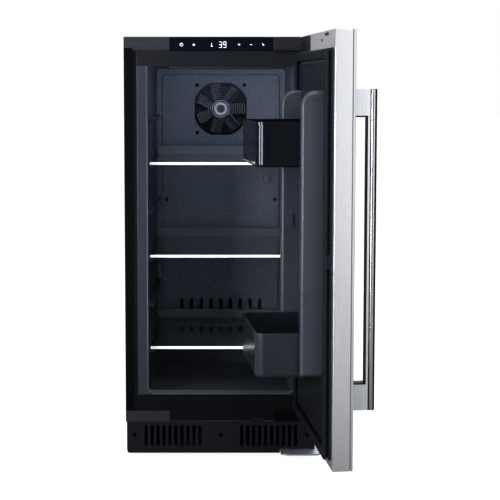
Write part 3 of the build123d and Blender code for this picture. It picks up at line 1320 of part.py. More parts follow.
def door_liner():
    """Moulded inner skin with two upright dikes and the bosses that carry the bins."""
    skin = DOOR_LINER_SHEET
    margin = DOOR_LINER_MARGIN
    wide = (GASKET_NEAR + margin, GASKET_FAR - margin)
    liner = door_block(wide, (0, skin), (GASKET_BOTTOM + margin, GASKET_TOP - margin))
    near_u, far_u, low, high = field_edges()
    field = door_block((near_u, far_u), (skin, DOOR_FIELD), (low, high))
    field = soften(field, CAVITY_CORNER, along(Axis.Y))
    liner += soften(field, DOOR_FIELD_ROUND, near(1, DOOR_INNER + DOOR_FIELD))
    for u in (DIKE_NEAR, DIKE_FAR - DIKE_WIDTH):
        dike = door_block((u, u + DIKE_WIDTH), (skin, DIKE_PROUD), (DIKE_BOTTOM, DIKE_TOP))
        tip = DOOR_INNER + DIKE_PROUD
        dike = soften(dike, DIKE_TOP_ROUND, along(Axis.X), near(1, tip), near(2, DIKE_TOP))
        dike = soften(dike, DIKE_FOOT_ROUND, along(Axis.X), near(1, tip), near(2, DIKE_BOTTOM))
        liner += soften(dike, DIKE_ROUND, along(Axis.Z), near(1, tip))
    liner -= liner_core()
    for low in boss_heights():
        liner += bin_boss(DIKE_NEAR + DIKE_WIDTH, 1, low)
        liner += bin_boss(DIKE_FAR - DIKE_WIDTH, -1, low)
    return liner


def boss_heights():
    """Undersides of the bosses on each dike: one for each bin and a spare pair between."""
    return [low + BOSS_FROM_BIN_BOTTOM for low in BIN_BOTTOMS.values()] + [SPARE_BOSS_Z]


def bin_boss(face, way, low):
    """A rectangular boss on the inner face of a dike."""
    u = sorted((face, face + way * BOSS_PROUD))
    v = (DOOR_FIELD + BOSS_FROM_FIELD, DOOR_FIELD + BOSS_FROM_FIELD + BOSS_WIDTH)
    return door_block(u, v, (low, low + BOSS_HEIGHT))


def door_gasket():
    """Magnetic seal around the door liner, with the sleeve over its joint."""
    skin = DOOR_LINER_SHEET
    reach = (skin, DOOR_GAP - GASKET_RELIEF)
    ring = door_block((GASKET_NEAR, GASKET_FAR), reach, (GASKET_BOTTOM, GASKET_TOP))
    ring = soften(ring, GASKET_ROUND, near(1, DOOR_INNER + reach[1]))
    inner = (GASKET_NEAR + GASKET_WIDTH, GASKET_FAR - GASKET_WIDTH)
    ring -= door_block(inner, reach, (GASKET_BOTTOM + GASKET_WIDTH, GASKET_TOP - GASKET_WIDTH))
    half = GASKET_JOINT_HEIGHT / 2
    sleeve = (GASKET_FAR - GASKET_WIDTH - GASKET_JOINT_PROUD, GASKET_FAR + GASKET_JOINT_PROUD)
    return ring + door_block(sleeve, (skin, reach[1]), (GASKET_JOINT_Z - half, GASKET_JOINT_Z + half))


def bin_shell(ends, depth, height, corner, back_corner):
    """The upright box of a bin with its four corners rounded."""
    shell = door_block(ends, depth, height)
    shell = soften(shell, corner, along(Axis.Z), near(1, DOOR_INNER + depth[1]))
    return soften(shell, back_corner, along(Axis.Z), near(1, DOOR_INNER + depth[0]))


def door_bin(bottom):
    """Open-topped bin that hangs on a pair of bosses between the dikes."""
    ends = (DIKE_NEAR + DIKE_WIDTH + BIN_END_GAP, DIKE_FAR - DIKE_WIDTH - BIN_END_GAP)
    depth = (DOOR_FIELD + BIN_BACK_GAP, BIN_REACH)
    top = bottom + BIN_HEIGHT
    shell = bin_shell(ends, depth, (bottom, top), BIN_CORNER, BIN_BACK_CORNER)
    shell = soften(shell, BIN_FLOOR_ROUND, near(2, bottom))
    front_ends = (ends[0] - BIN_RIM, ends[1] + BIN_RIM)
    rim_depth = (depth[0], depth[1] + BIN_RIM)
    rim_height = (top - BIN_RIM_HEIGHT, top)
    shell += bin_shell(front_ends, rim_depth, rim_height, BIN_CORNER + BIN_RIM, BIN_BACK_CORNER)
    for face, way in ((ends[0], -1), (ends[1], 1)):
        shell += bin_pad(face, way, bottom)
    room = (ends[0] + BIN_WALL, ends[1] - BIN_WALL)
    inside = (depth[0] + BIN_WALL, depth[1] - BIN_WALL)
    hollow = bin_shell(room, inside, (bottom + BIN_WALL, top), BIN_CORNER - BIN_WALL, BIN_INSIDE_CORNER)
    return shell - hollow


def bin_pad(face, way, bottom):
    """A pad on the end of a bin with a notch that drops over the boss."""
    thick = BIN_END_GAP - PAD_CLEARANCE
    u = sorted((face - way, face + way * thick))
    middle = DOOR_FIELD + BOSS_FROM_FIELD + BOSS_WIDTH / 2
    boss_top = bottom + BOSS_FROM_BIN_BOTTOM + BOSS_HEIGHT
    low = bottom + BOSS_FROM_BIN_BOTTOM
    pad = door_block(u, (middle - PAD_WIDTH / 2, middle + PAD_WIDTH / 2), (low, bottom + BIN_HEIGHT))
    half = BOSS_WIDTH / 2 + PAD_CLEARANCE
    reach = sorted((face, face + way * BIN_END_GAP))
    return pad - door_block(reach, (middle - half, middle + half), (low, boss_top + FIT))


# Handle

def handle_bracket():
    """C-shaped bracket: two posts on the door joined by a flat strip."""
    half = HANDLE_WIDTH / 2 - HANDLE_BAR_INSET
    wide = (HANDLE_X - half, HANDLE_X + half)
    strip_face = DOOR_OUTER - HANDLE_GAP - HANDLE_STRIP
    bracket = block(wide, (strip_face, DOOR_OUTER), (HANDLE_BOTTOM, HANDLE_TOP))
    opening = (HANDLE_BOTTOM + HANDLE_POST_HEIGHT, HANDLE_TOP - HANDLE_POST_HEIGHT)
    bracket -= block(wide, (DOOR_OUTER - HANDLE_GAP, DOOR_OUTER), opening)
    for point in handle_screw_points():
        bracket -= rod(HANDLE_SCREW_RADIUS + FIT, handle_screw_tip(point), point)
    return bracket


def handle_bar():
    """Rounded grip bar on the front of the bracket."""
    half = HANDLE_WIDTH / 2
    back = DOOR_OUTER - HANDLE_GAP - HANDLE_STRIP
    wide = (HANDLE_X - half, HANDLE_X + half)
    bar = block(wide, (back - HANDLE_BAR, back), (HANDLE_BOTTOM, HANDLE_TOP))
    bar = soften(bar, HANDLE_BAR_ROUND, along(Axis.Z))
    for end in (HANDLE_BOTTOM, HANDLE_TOP):
        bar = soften(bar, HANDLE_END_ROUND, near(2, end))
    return bar


def handle_screw_points():
    """Where the handle's two screws cross the outer face of the door."""
    rise = HANDLE_POST_HEIGHT / 2
    return [(HANDLE_X, DOOR_OUTER, z) for z in (HANDLE_BOTTOM + rise, HANDLE_TOP - rise)]


def handle_screw_tip(point):
    """The end of a handle screw inside its post."""
    return (point[0], point[1] - HANDLE_GAP + HANDLE_SCREW_RADIUS, point[2])


def handle_screw_length():
    """Depth of the handle screws behind the outer face of the door."""
    return DOOR_FRONT_PANEL + DOOR_SEAM + SCREW_LENGTH


def handle_screws():
    """Two screws from inside the door into the handle's posts."""
    screws = []
    for x, y, z in handle_screw_points():
        inner_end = (x, y + handle_screw_length(), z)
        screws.append(rod(HANDLE_SCREW_RADIUS, handle_screw_tip((x, y, z)), inner_end))
    return screws


# Hinges

def upper_hinge_bracket():
    """Plate on the cabinet with an arm that reaches into the top corner of the door."""
    face = FRONT - HINGE_PLATE_SHEET
    plate = block(
        (HINGE_PLATE_LEFT + HINGE_COVER_WALL + SEAT, HINGE_PLATE_RIGHT),
        (face, FRONT),
        (UPPER_PLATE_BOTTOM, UPPER_PLATE_TOP),
    )
    high = UPPER_ARM_BOTTOM + UPPER_ARM_SHEET
    left = HINGE_X - UPPER_ARM_OFFSET - UPPER_ARM_WIDTH / 2
    arm = block((left, left + UPPER_ARM_WIDTH), (HINGE_Y, face), (UPPER_ARM_BOTTOM, high))
    arm += bush_room(UPPER_EYE_RADIUS, UPPER_ARM_BOTTOM, high)
    arm -= bush_room(UPPER_PIN_RADIUS + FIT / 2, UPPER_ARM_BOTTOM, high)
    bracket = plate + arm
    for point in hinge_screw_points()[:2]:
        bracket -= screw_hole(point, (0, 1, 0))
    return bracket


def lower_hinge_bracket():
    """Plate on the cabinet with an arm under the bottom corner of the door."""
    face = FRONT - HINGE_PLATE_SHEET
    span = (HINGE_PLATE_LEFT, HINGE_PLATE_RIGHT)
    plate = block(span, (face, FRONT), (LOWER_PLATE_BOTTOM, LOWER_PLATE_TOP))
    high = LOWER_ARM_BOTTOM + LOWER_ARM_SHEET
    half = LOWER_ARM_WIDTH / 2
    arm = block((HINGE_X - half, HINGE_X + half), (HINGE_Y, face), (LOWER_ARM_BOTTOM, high))
    arm += bush_room(half, LOWER_ARM_BOTTOM, high)
    arm -= bush_room(LOWER_PIN_RADIUS + FIT / 2, LOWER_ARM_BOTTOM, high)
    bracket = plate + arm
    for point in hinge_screw_points()[2:]:
        bracket -= screw_hole(point, (0, 1, 0))
    return bracket


def hinge_screw_points():
    """Seats of the hinge screws: two on the upper plate, then two on the lower plate."""
    face = FRONT - HINGE_PLATE_SHEET
    heights = (UPPER_PLATE_BOTTOM + UPPER_PLATE_TOP) / 2, (LOWER_PLATE_BOTTOM + LOWER_PLATE_TOP) / 2
    return [(x, face, z) for z in heights for x in HINGE_SCREW_X]


def hinge_pins():
    """Upper and lower pins that the door turns on."""
    upper_low = UPPER_ARM_BOTTOM
    upper = bush_room(UPPER_PIN_RADIUS, upper_low, upper_low + UPPER_PIN_RISE)
    lower_top = LOWER_ARM_BOTTOM + LOWER_ARM_SHEET + LOWER_PIN_RISE
    return [upper, bush_room(LOWER_PIN_RADIUS, LOWER_ARM_BOTTOM, lower_top)]


def hinge_bushes():
    """Plastic bushes in the door: a sleeve on the upper pin and a flanged one on the lower."""
    low = UPPER_ARM_BOTTOM + UPPER_ARM_SHEET + ARM_CLEARANCE
    upper = bush_room(UPPER_BUSH_RADIUS, low, DOOR_TOP - DOOR_SHEET - FIT)
    upper -= bush_room(UPPER_PIN_RADIUS + RUNNING_FIT, low, UPPER_ARM_BOTTOM + UPPER_PIN_RISE + AXIAL_GAP)
    seat = LOWER_ARM_BOTTOM + LOWER_ARM_SHEET + SEAT
    pin_top = LOWER_ARM_BOTTOM + LOWER_ARM_SHEET + LOWER_PIN_RISE
    lower = bush_room(LOWER_BUSH_FLANGE, seat, DOOR_BOTTOM)
    lower += bush_room(LOWER_BUSH_RADIUS, DOOR_BOTTOM, DOOR_BOTTOM + LOWER_BUSH_DEPTH)
    lower -= bush_room(LOWER_PIN_RADIUS + RUNNING_FIT, seat, pin_top + AXIAL_GAP)
    return [upper, lower]


def upper_hinge_cover():
    """Moulded cap over the upper hinge plate and its screws."""
    face = FRONT - HINGE_COVER_PROUD
    span = (HINGE_COVER_LEFT, HINGE_COVER_RIGHT)
    low = PANEL_BOTTOM + SEAT
    cap = block(span, (face, FRONT), (low, TOP - SHEET))
    cap = soften(cap, HINGE_COVER_ROUND, along(Axis.Y), near(0, HINGE_COVER_RIGHT), near(2, low))
    cap = soften(cap, HINGE_COVER_WALL, along(Axis.Z), near(1, face))
    inner = (HINGE_PLATE_LEFT + HINGE_COVER_WALL, HINGE_COVER_RIGHT)
    room = face + HINGE_COVER_WALL
    return cap - block(inner, (room, FRONT), (UPPER_PLATE_BOTTOM - SEAT, UPPER_PLATE_TOP + SEAT))


def cabinet_screws():
    """The like screws of the kick plate, the hinge plates and the access cover."""
    screws = [screw(point, (0, 1, 0)) for point in kick_screw_points() + hinge_screw_points()]
    return screws + [screw(point, (0, -1, 0)) for point in access_screw_points()]


def pieces():
    """Every node of the assembly by name, as one solid or a group of separate solids."""
    nodes = {
        "cabinet_wrapper": cabinet_wrapper(),
        "rear_panel": rear_panel(),
        "base_pan": base_pan(),
        "bottom_deck": deck(),
        "insulation_foam": insulation_foam(),
        "inner_liner": inner_liner(),
        "top_fascia": top_fascia(),
        "control_housing": control_housing(),
        "control_board": control_board(),
        "control_panel": control_panel(),
        "hinge_hole_covers": hinge_hole_covers(),
        "interior_lamp": led_lamp(),
        "kick_plate": kick_plate(),
        "cabinet_screws": cabinet_screws(),
        "shelf_front_trims": [shelf_front_trim(top) for top in SHELF_TOPS],
        "shelf_rear_trims": [shelf_rear_trim(top) for top in SHELF_TOPS],
        "air_panel": air_panel(),
        "air_panel_screws": [screw(point, (0, 1, 0), FAN_SCREW_LENGTH) for point in air_screw_points()],
        "fan_grille": fan_grille(),
        "evaporator_fan_frame": evaporator_fan_seat() * fan_housing(),
        "evaporator_fan_rotor": evaporator_fan_seat() * fan_wheel(),
        "thermistor": thermistor(),
        "evaporator": [evaporator_tube()] + evaporator_fins(),
        "drain_trough": drain_trough(),
        "drain_tube": drain_tube(),
        "compressor": compressor(),
        "compressor_grommets": compressor_grommets(),
        "relay_box": relay_box(),
        "drip_tray": drip_tray(),
        "condenser": [condenser_tube()] + condenser_fins(),
        "condenser_fan_frame": cooling_fan_seat() * fan_housing(),
        "condenser_fan_rotor": cooling_fan_seat() * fan_wheel(),
        "filter_drier": filter_drier(),
        "refrigerant_lines": refrigerant_lines(),
        "rear_access_cover": access_cover(),
        "power_inlet": power_inlet(),
        "floor_plate": floor_plate(),
        "upper_hinge_bracket": upper_hinge_bracket(),
        "upper_hinge_cover": upper_hinge_cover(),
        "lower_hinge_bracket": lower_hinge_bracket(),
        "hinge_pins": hinge_pins(),
    }
    for name, top in zip(("lower", "middle", "upper"), SHELF_TOPS):
        nodes[f"{name}_shelf_glass"] = shelf_glass(top)
    for name, place in zip(("front_left", "front_right", "rear_left", "rear_right"), leg_places()):
        nodes[f"{name}_leg"] = levelling_leg(*place)
    door = {
        "door_front_panel": door_front_panel(),
        "door_frame": door_frame(),
        "door_foam": door_foam(),
        "door_liner": door_liner(),
        "door_gasket": door_gasket(),
        "handle_bracket": handle_bracket(),
        "handle_bar": handle_bar(),
    }
    door.update({name: door_bin(bottom) for name, bottom in BIN_BOTTOMS.items()})
    nodes.update({name: open_door(shape) for name, shape in door.items()})
    nodes["hinge_bushes"] = [open_door(bush) for bush in hinge_bushes()]
    nodes["handle_screws"] = [open_door(bolt) for bolt in handle_screws()]
    return nodes


def main():
    """Write one file for each node."""
    os.makedirs("parts", exist_ok=True)
    for name, shape in pieces().items():
        solids = shape if isinstance(shape, list) else [shape]
        bodies = [solid for part in solids for solid in part.solids()]
        export_step(Compound(bodies), f"parts/{name}.step")


main()
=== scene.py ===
"""Under-counter refrigerator with its door open, dressed for a studio picture.

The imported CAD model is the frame. Its nodes keep their place and get their finishes here, and
small trim that the solids leave plain is modelled with bmesh and rides on the CAD bodies.
Lengths are metres, +Z is up and the cabinet faces -Y.
"""
import json
import logging
import math
from dataclasses import dataclass, field, replace
from enum import Enum
from typing import Any, ClassVar

import bmesh
import bpy
from bmesh.types import BMesh, BMVert
from mathutils import Matrix, Vector

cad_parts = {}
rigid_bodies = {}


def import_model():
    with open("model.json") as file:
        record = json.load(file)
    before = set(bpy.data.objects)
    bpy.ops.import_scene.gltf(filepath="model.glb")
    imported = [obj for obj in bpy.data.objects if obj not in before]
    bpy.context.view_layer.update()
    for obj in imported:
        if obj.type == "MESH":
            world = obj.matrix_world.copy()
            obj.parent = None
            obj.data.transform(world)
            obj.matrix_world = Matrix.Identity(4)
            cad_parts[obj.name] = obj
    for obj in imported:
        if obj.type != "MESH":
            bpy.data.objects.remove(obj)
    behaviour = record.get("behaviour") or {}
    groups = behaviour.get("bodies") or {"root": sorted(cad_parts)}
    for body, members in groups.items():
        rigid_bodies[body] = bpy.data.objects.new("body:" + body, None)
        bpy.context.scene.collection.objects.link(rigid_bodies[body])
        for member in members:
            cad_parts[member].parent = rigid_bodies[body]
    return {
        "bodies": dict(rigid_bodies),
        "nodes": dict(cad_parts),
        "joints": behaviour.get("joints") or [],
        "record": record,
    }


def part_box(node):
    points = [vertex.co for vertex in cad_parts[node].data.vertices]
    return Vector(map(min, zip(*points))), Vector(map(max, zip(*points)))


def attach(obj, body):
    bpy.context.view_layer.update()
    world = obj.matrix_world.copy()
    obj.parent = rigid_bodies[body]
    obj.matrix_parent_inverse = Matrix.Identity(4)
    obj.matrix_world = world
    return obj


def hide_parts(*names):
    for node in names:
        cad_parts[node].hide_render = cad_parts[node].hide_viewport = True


Colour = tuple[float, float, float]
Point = tuple[float, float, float]
Span = tuple[float, float]
Plane = tuple[Point, float]
Socket = bpy.types.NodeSocket

LOG = logging.getLogger("refrigerator")
MM = 0.001
ORIGIN: Point = (0.0, 0.0, 0.0)
ALONG_Y: Point = (0.0, 1.0, 0.0)

# Points of a mesh that are this close become one.
WELD = 1e-6

# Planes of the closed door, by depth, the height where its seal ends, and how far from a plane
# a point still counts as on it.
DOOR_INNER_FACE = -274.0 * MM
DOOR_OUTER_FACE = -309.0 * MM
DOOR_FIELD = -266.0 * MM
SEAL_TOP = 794.0 * MM
PLANE_SLACK = 0.6 * MM

# Tint of the gloss on plastic and paint, and the tone curve of the finished picture.
COOL_SHEEN: Colour = (0.80, 0.89, 1.0)
PRINT_GAMMA = 0.88
WHITE: Colour = (1.0, 1.0, 1.0)
BLACK: Colour = (0.0, 0.0, 0.0)

# Where most values of a noise texture lie, and the range of a share.
NOISE_CORE: Span = (0.3, 0.7)
UNIT: Span = (0.0, 1.0)


class Effect(Enum):
    """Surface effects that several finishes share, each a shader node group built once."""

    GRAIN = "moulded_grain"
    BRUSH = "brushed_lines"
    EDGE = "edge_light"
    FILM = "dust_film"


class Graph:
    """Adds nodes to one node tree and joins them, so that a finish reads as a list of steps."""

    # The Mix node has sockets for every kind of data. These are the ones it uses for colours.
    MIX_INPUTS = (0, 6, 7)
    MIX_OUTPUT = 2

    def __init__(self, tree: bpy.types.NodeTree) -> None:
        """Work on the given tree."""
        self.tree = tree

    def feed(self, socket: Socket, value: Any) -> None:
        """Fill one input.

        Args:
            socket: The input.
            value: An output to link to it, or the input's own value.
        """
        if isinstance(value, Socket):
            self.tree.links.new(value, socket)
        elif socket.type == "RGBA" and len(value) == len(WHITE):
            socket.default_value = (*value, 1.0)
        else:
            socket.default_value = value

    def add(self, kind: str, settings: dict[str, Any] | None = None,
            **sockets: Any) -> bpy.types.Node:
        """Add one node.

        Args:
            kind: The class name of the node after "ShaderNode".
            settings: Properties of the node itself.
            sockets: What goes into its inputs, by socket name with _ for each space.

        Returns:
            The new node.
        """
        node = self.tree.nodes.new("ShaderNode" + kind)
        for name, value in (settings or {}).items():
            setattr(node, name, value)
        for name, value in sockets.items():
            self.feed(node.inputs[name.replace("_", " ")], value)
        return node

    def operate(self, kind: str, operation: str, values: tuple[Any, ...]) -> bpy.types.Node:
        """Add a node that works something out.

        Args:
            kind: The class name of the node after "ShaderNode".
            operation: What it does.
            values: What goes into its inputs, in their order.

        Returns:
            The new node.
        """
        node = self.add(kind, {"operation": operation})
        for socket, value in zip(node.inputs, values):
            self.feed(socket, value)
        return node

    def math(self, operation: str, *values: Any) -> Socket:
        """Work out one number from one or more others."""
        return self.operate("Math", operation, values).outputs[0]

    def vector(self, operation: str, output: str, *values: Any) -> Socket:
        """Work out a vector, or a number from vectors, and hand back the output of that name."""
        return self.operate("VectorMath", operation, values).outputs[output]

    def axes(self, vector: Socket) -> Any:
        """The X, Y and Z parts of a vector."""
        return self.add("SeparateXYZ", Vector=vector).outputs

    def noise(self, place: Socket, scale: Any, detail: float = 2.0) -> Socket:
        """A cloudy value from 0 to 1."""
        return self.add("TexNoise", Vector=place, Scale=scale, Detail=detail).outputs[0]

    def bump(self, height: Socket, strength: float, distance: float) -> Socket:
        """The normal of a surface with a fine relief."""
        node = self.add("Bump", Strength=strength, Distance=distance, Height=height)
        return node.outputs[0]

    def mix(self, share: Any, first: Any, second: Any) -> Socket:
        """Blend two colours.

        Args:
            share: How much of the second there is, from 0 to 1.
            first: The colour at 0.
            second: The colour at 1.

        Returns:
            The blended colour.
        """
        node = self.add("Mix", {"data_type": "RGBA"})
        for index, value in zip(self.MIX_INPUTS, (share, first, second)):
            self.feed(node.inputs[index], value)
        return node.outputs[self.MIX_OUTPUT]

    def span(self, value: Any, source: Span, target: Span = UNIT) -> Socket:
        """Carry a value from one range over to another, held to its ends."""
        node = self.add("MapRange", Value=value, From_Min=source[0], From_Max=source[1],
                        To_Min=target[0], To_Max=target[1])
        return node.outputs["Result"]

    def effect(self, effect: Effect, **sockets: Any) -> Any:
        """Place a shared effect with its own values.

        Args:
            effect: The effect.
            sockets: What goes into its inputs.

        Returns:
            Its outputs.
        """
        node = self.add("Group", {"node_tree": EffectShelf.take(effect)})
        for name, value in sockets.items():
            self.feed(node.inputs[name], value)
        return node.outputs


class EffectShelf:
    """Keeps the shared node groups and makes each one when it is first asked for."""

    INPUTS = {
        Effect.GRAIN: {"Vector": "NodeSocketVector", "Scale": "NodeSocketFloat"},
        Effect.BRUSH: {"Vector": "NodeSocketVector", "Spread": "NodeSocketVector"},
        Effect.EDGE: {"Radius": "NodeSocketFloat"},
        Effect.FILM: {"Vector": "NodeSocketVector"},
    }
    OUTPUTS = {
        Effect.GRAIN: ("Height", "Mottle", "Speck"),
        Effect.BRUSH: ("Line", "Haze"),
        Effect.EDGE: ("Mask",),
        Effect.FILM: ("Mask",),
    }
    DRIFT_SCALE = 7.0
    CELL_SHARE = 0.5
    SPECK_SPAN: Span = (0.52, 0.72)
    UNSCALED = 1.0
    HAZE_SHARE: Point = (0.05, 0.05, 0.05)
    EDGE_SAMPLES = 4
    EDGE_SPAN: Span = (0.995, 0.86)
    DUST_SCALE = 22.0
    LYING_SPAN: Span = (0.7, 1.0)

    @classmethod
    def take(cls, effect: Effect) -> bpy.types.NodeTree:
        """The node group of one effect."""
        ready = bpy.data.node_groups.get(effect.value)
        return ready if ready else cls.build(effect)

    @classmethod
    def build(cls, effect: Effect) -> bpy.types.NodeTree:
        """Make the group's sockets and let the effect's own method fill it.

        Args:
            effect: The effect to make.

        Returns:
            The new node group.
        """
        tree = bpy.data.node_groups.new(effect.value, "ShaderNodeTree")
        for name, kind in cls.INPUTS[effect].items():
            tree.interface.new_socket(name=name, in_out="INPUT", socket_type=kind)
        for name in cls.OUTPUTS[effect]:
            tree.interface.new_socket(name=name, in_out="OUTPUT", socket_type="NodeSocketFloat")
        graph = Graph(tree)
        given = tree.nodes.new("NodeGroupInput").outputs
        results = getattr(cls, effect.name.lower())(graph, given)
        end = tree.nodes.new("NodeGroupOutput")
        for name, value in results.items():
            graph.feed(end.inputs[name], value)
        return tree

    @classmethod
    def grain(cls, graph: Graph, given: Any) -> dict[str, Socket]:
        """Fine stipple of a mould, with slow drifts in gloss and small pale specks.

        Args:
            graph: The group's node tree.
            given: What comes into the group, by name.

        Returns:
            What the group puts out, by name.
        """
        place, scale = given["Vector"], given["Scale"]
        fine = graph.noise(place, scale, detail=3.0)
        cells = graph.add("TexVoronoi", Vector=place, Scale=scale).outputs["Distance"]
        drift = graph.noise(place, cls.DRIFT_SCALE)
        height = graph.math("MULTIPLY_ADD", cells, cls.CELL_SHARE, fine)
        return {"Height": height, "Mottle": drift, "Speck": graph.span(fine, cls.SPECK_SPAN)}

    @classmethod
    def brush(cls, graph: Graph, given: Any) -> dict[str, Socket]:
        """Long fine belt marks, with broader hazy bands that run the same way.

        Args:
            graph: The group's node tree.
            given: What comes into the group, by name.

        Returns:
            What the group puts out, by name.
        """
        along = graph.vector("MULTIPLY", "Vector", given["Vector"], given["Spread"])
        broad = graph.vector("MULTIPLY", "Vector", along, cls.HAZE_SHARE)
        line = graph.noise(along, cls.UNSCALED, detail=4.0)
        return {"Line": line, "Haze": graph.noise(broad, cls.UNSCALED)}

    @classmethod
    def edge(cls, graph: Graph, given: Any) -> dict[str, Socket]:
        """Where a sharp edge would be rubbed and catch a painted highlight: the normal there
        differs from a rounded one.

        Args:
            graph: The group's node tree.
            given: What comes into the group, by name.

        Returns:
            What the group puts out, by name.
        """
        rounded = graph.add("Bevel", {"samples": cls.EDGE_SAMPLES}, Radius=given["Radius"])
        flat = graph.add("NewGeometry").outputs["Normal"]
        alike = graph.vector("DOT_PRODUCT", "Value", rounded.outputs[0], flat)
        return {"Mask": graph.span(alike, cls.EDGE_SPAN)}

    @classmethod
    def film(cls, graph: Graph, given: Any) -> dict[str, Socket]:
        """Thin dust that lies on faces which look up.

        Args:
            graph: The group's node tree.
            given: What comes into the group, by name.

        Returns:
            What the group puts out, by name.
        """
        upward = graph.axes(graph.add("NewGeometry").outputs["Normal"])["Z"]
        cloud = graph.noise(given["Vector"], cls.DUST_SCALE, detail=5.0)
        return {"Mask": graph.math("MULTIPLY", graph.span(upward, cls.LYING_SPAN), cloud)}


@dataclass(frozen=True)
class Finish:
    """What every finish has. A finish makes one material and knows how its surface varies."""

    colour: Colour
    roughness: float
    specular: float = 0.5

    def material(self, name: str) -> bpy.types.Material:
        """Make the material.

        Args:
            name: The material's name.

        Returns:
            A node material with one Principled shader.
        """
        made = bpy.data.materials.new(name)
        made.use_nodes = True
        made.diffuse_color = (*self.colour, 1.0)
        shader = made.node_tree.nodes["Principled BSDF"]
        graph = Graph(made.node_tree)
        graph.feed(shader.inputs["Specular IOR Level"], self.specular)
        place = graph.add("TexCoord").outputs["Object"]
        self.shade(graph, shader.inputs, place)
        return made

    def shade(self, graph: Graph, surface: Any, place: Socket) -> None:
        """Fill the shader's inputs.

        Args:
            graph: The material's node tree.
            surface: The inputs of the Principled shader.
            place: Object coordinates.
        """
        raise NotImplementedError

    def tinted(self, factor: float) -> Colour:
        """The finish's colour, lighter or darker by a factor."""
        return tuple(min(1.0, part * factor) for part in self.colour)

    def between(self, graph: Graph, share: Socket, factors: Span) -> Socket:
        """The finish's colour, from darker to lighter as a share goes from 0 to 1."""
        return graph.mix(share, *(self.tinted(factor) for factor in factors))

    def gloss(self, graph: Graph, pattern: Socket, down: float, up: float) -> Socket:
        """Roughness that follows a noise pattern, from below the finish's own to above it."""
        return graph.span(pattern, NOISE_CORE, (self.roughness - down, self.roughness + up))

    def worn(self, graph: Graph, colour: Any, edge_rub_and_highlight: tuple[float, float, float]) -> Socket:
        """Lighten sharp edges, partly as rubbing by hands and cloths and partly as a painted
        highlight.

        Args:
            graph: The material's node tree.
            colour: The colour elsewhere.
            edge_rub_and_highlight: How wide the lightened edge is, how strong and by which factor
                lighter.

        Returns:
            The colour with its edges.
        """
        radius, strength, factor = edge_rub_and_highlight
        edge = graph.effect(Effect.EDGE, Radius=radius)["Mask"]
        return graph.mix(graph.math("MULTIPLY", edge, strength), colour, self.tinted(factor))

    @staticmethod
    def on_plane(graph: Graph, place: Socket, plane: Plane) -> Socket:
        """Find one plane of a piece.

        Args:
            graph: The material's node tree.
            place: Object coordinates.
            plane: The plane's normal and its reach along it.

        Returns:
            1 on the plane and 0 elsewhere.
        """
        normal, reach = plane
        along = graph.vector("DOT_PRODUCT", "Value", place, normal)
        return graph.math("COMPARE", along, reach, PLANE_SLACK)


@dataclass(frozen=True)
class Moulded(Finish):
    """Moulded plastic, rubber, foam or painted sheet, with a fine stipple and edges lightened as
    rubbing and painted highlight.

    One plane of a piece can be painted darker, as painted shade in a recess, and a band between
    two depths can be black; below a given height the band takes in all that lies in front of it,
    as painted shade.
    """

    MOTTLE: ClassVar[Span] = (0.92, 1.08)
    SPECK_FACTOR: ClassVar[float] = 3.2
    RUB_RADIUS: ClassVar[float] = 0.8 * MM
    RUB_FACTOR: ClassVar[float] = 3.0
    DUST_COLOUR: ClassVar[Colour] = (0.32, 0.31, 0.30)
    PLANE_FACTOR: ClassVar[float] = 0.25
    BAND_COLOUR: ClassVar[Colour] = (0.0025, 0.0025, 0.0032)
    BAND_ROUGHNESS: ClassVar[float] = 0.24
    STIPPLE: ClassVar[float] = 0.4 * MM

    grain: float = 900.0
    depth: float = 0.08
    swing: float = 0.04
    specks: float = 0.0
    rub: float = 0.6
    dust: float = 0.0
    dark_plane: Plane | None = None
    band: Span | None = None
    band_below: float = 0.0

    def shade(self, graph: Graph, surface: Any, place: Socket) -> None:
        """Stipple, slow drift in colour and gloss, pale edges and a little dust.

        Args:
            graph: The material's node tree.
            surface: The inputs of the Principled shader.
            place: Object coordinates.
        """
        grain = graph.effect(Effect.GRAIN, Vector=place, Scale=self.grain)
        colour = self.between(graph, grain["Mottle"], self.MOTTLE)
        gloss = self.gloss(graph, grain["Mottle"], self.swing, self.swing)
        if self.specks:
            share = graph.math("MULTIPLY", grain["Speck"], self.specks)
            colour = graph.mix(share, colour, self.tinted(self.SPECK_FACTOR))
        # Sharp edges are lightened, partly as rubbing and partly as a painted highlight.
        if self.rub:
            colour = self.worn(graph, colour, (self.RUB_RADIUS, self.rub, self.RUB_FACTOR))
        if self.dust:
            film = graph.effect(Effect.FILM, Vector=place)["Mask"]
            colour = graph.mix(graph.math("MULTIPLY", film, self.dust), colour, self.DUST_COLOUR)
        # Painted shade: the given plane, a recess, is painted darker.
        if self.dark_plane:
            share = self.on_plane(graph, place, self.dark_plane)
            colour = graph.mix(share, colour, self.tinted(self.PLANE_FACTOR))
        # The band is black paint; below the given height all in front of it is painted black too,
        # as painted shade on the lower front.
        if self.band:
            inside = self.in_band(graph, place)
            colour = graph.mix(inside, colour, self.BAND_COLOUR)
            kept = graph.math("MULTIPLY", gloss, graph.math("SUBTRACT", 1.0, inside))
            gloss = graph.math("MULTIPLY_ADD", inside, self.BAND_ROUGHNESS, kept)
        graph.feed(surface["Base Color"], colour)
        graph.feed(surface["Roughness"], gloss)
        graph.feed(surface["Specular Tint"], COOL_SHEEN)
        graph.feed(surface["Normal"], graph.bump(grain["Height"], self.depth, self.STIPPLE))

    def in_band(self, graph: Graph, place: Socket) -> Socket:
        """Find the band.

        Args:
            graph: The material's node tree.
            place: Object coordinates.

        Returns:
            1 in the band, and in front of it below its height, and 0 elsewhere.
        """
        front, back = self.band
        spot = graph.axes(place)
        behind = graph.math("GREATER_THAN", spot["Y"], front)
        beneath = graph.math("LESS_THAN", spot["Z"], self.band_below)
        either = graph.math("MAXIMUM", behind, beneath)
        return graph.math("MULTIPLY", either, graph.math("LESS_THAN", spot["Y"], back))


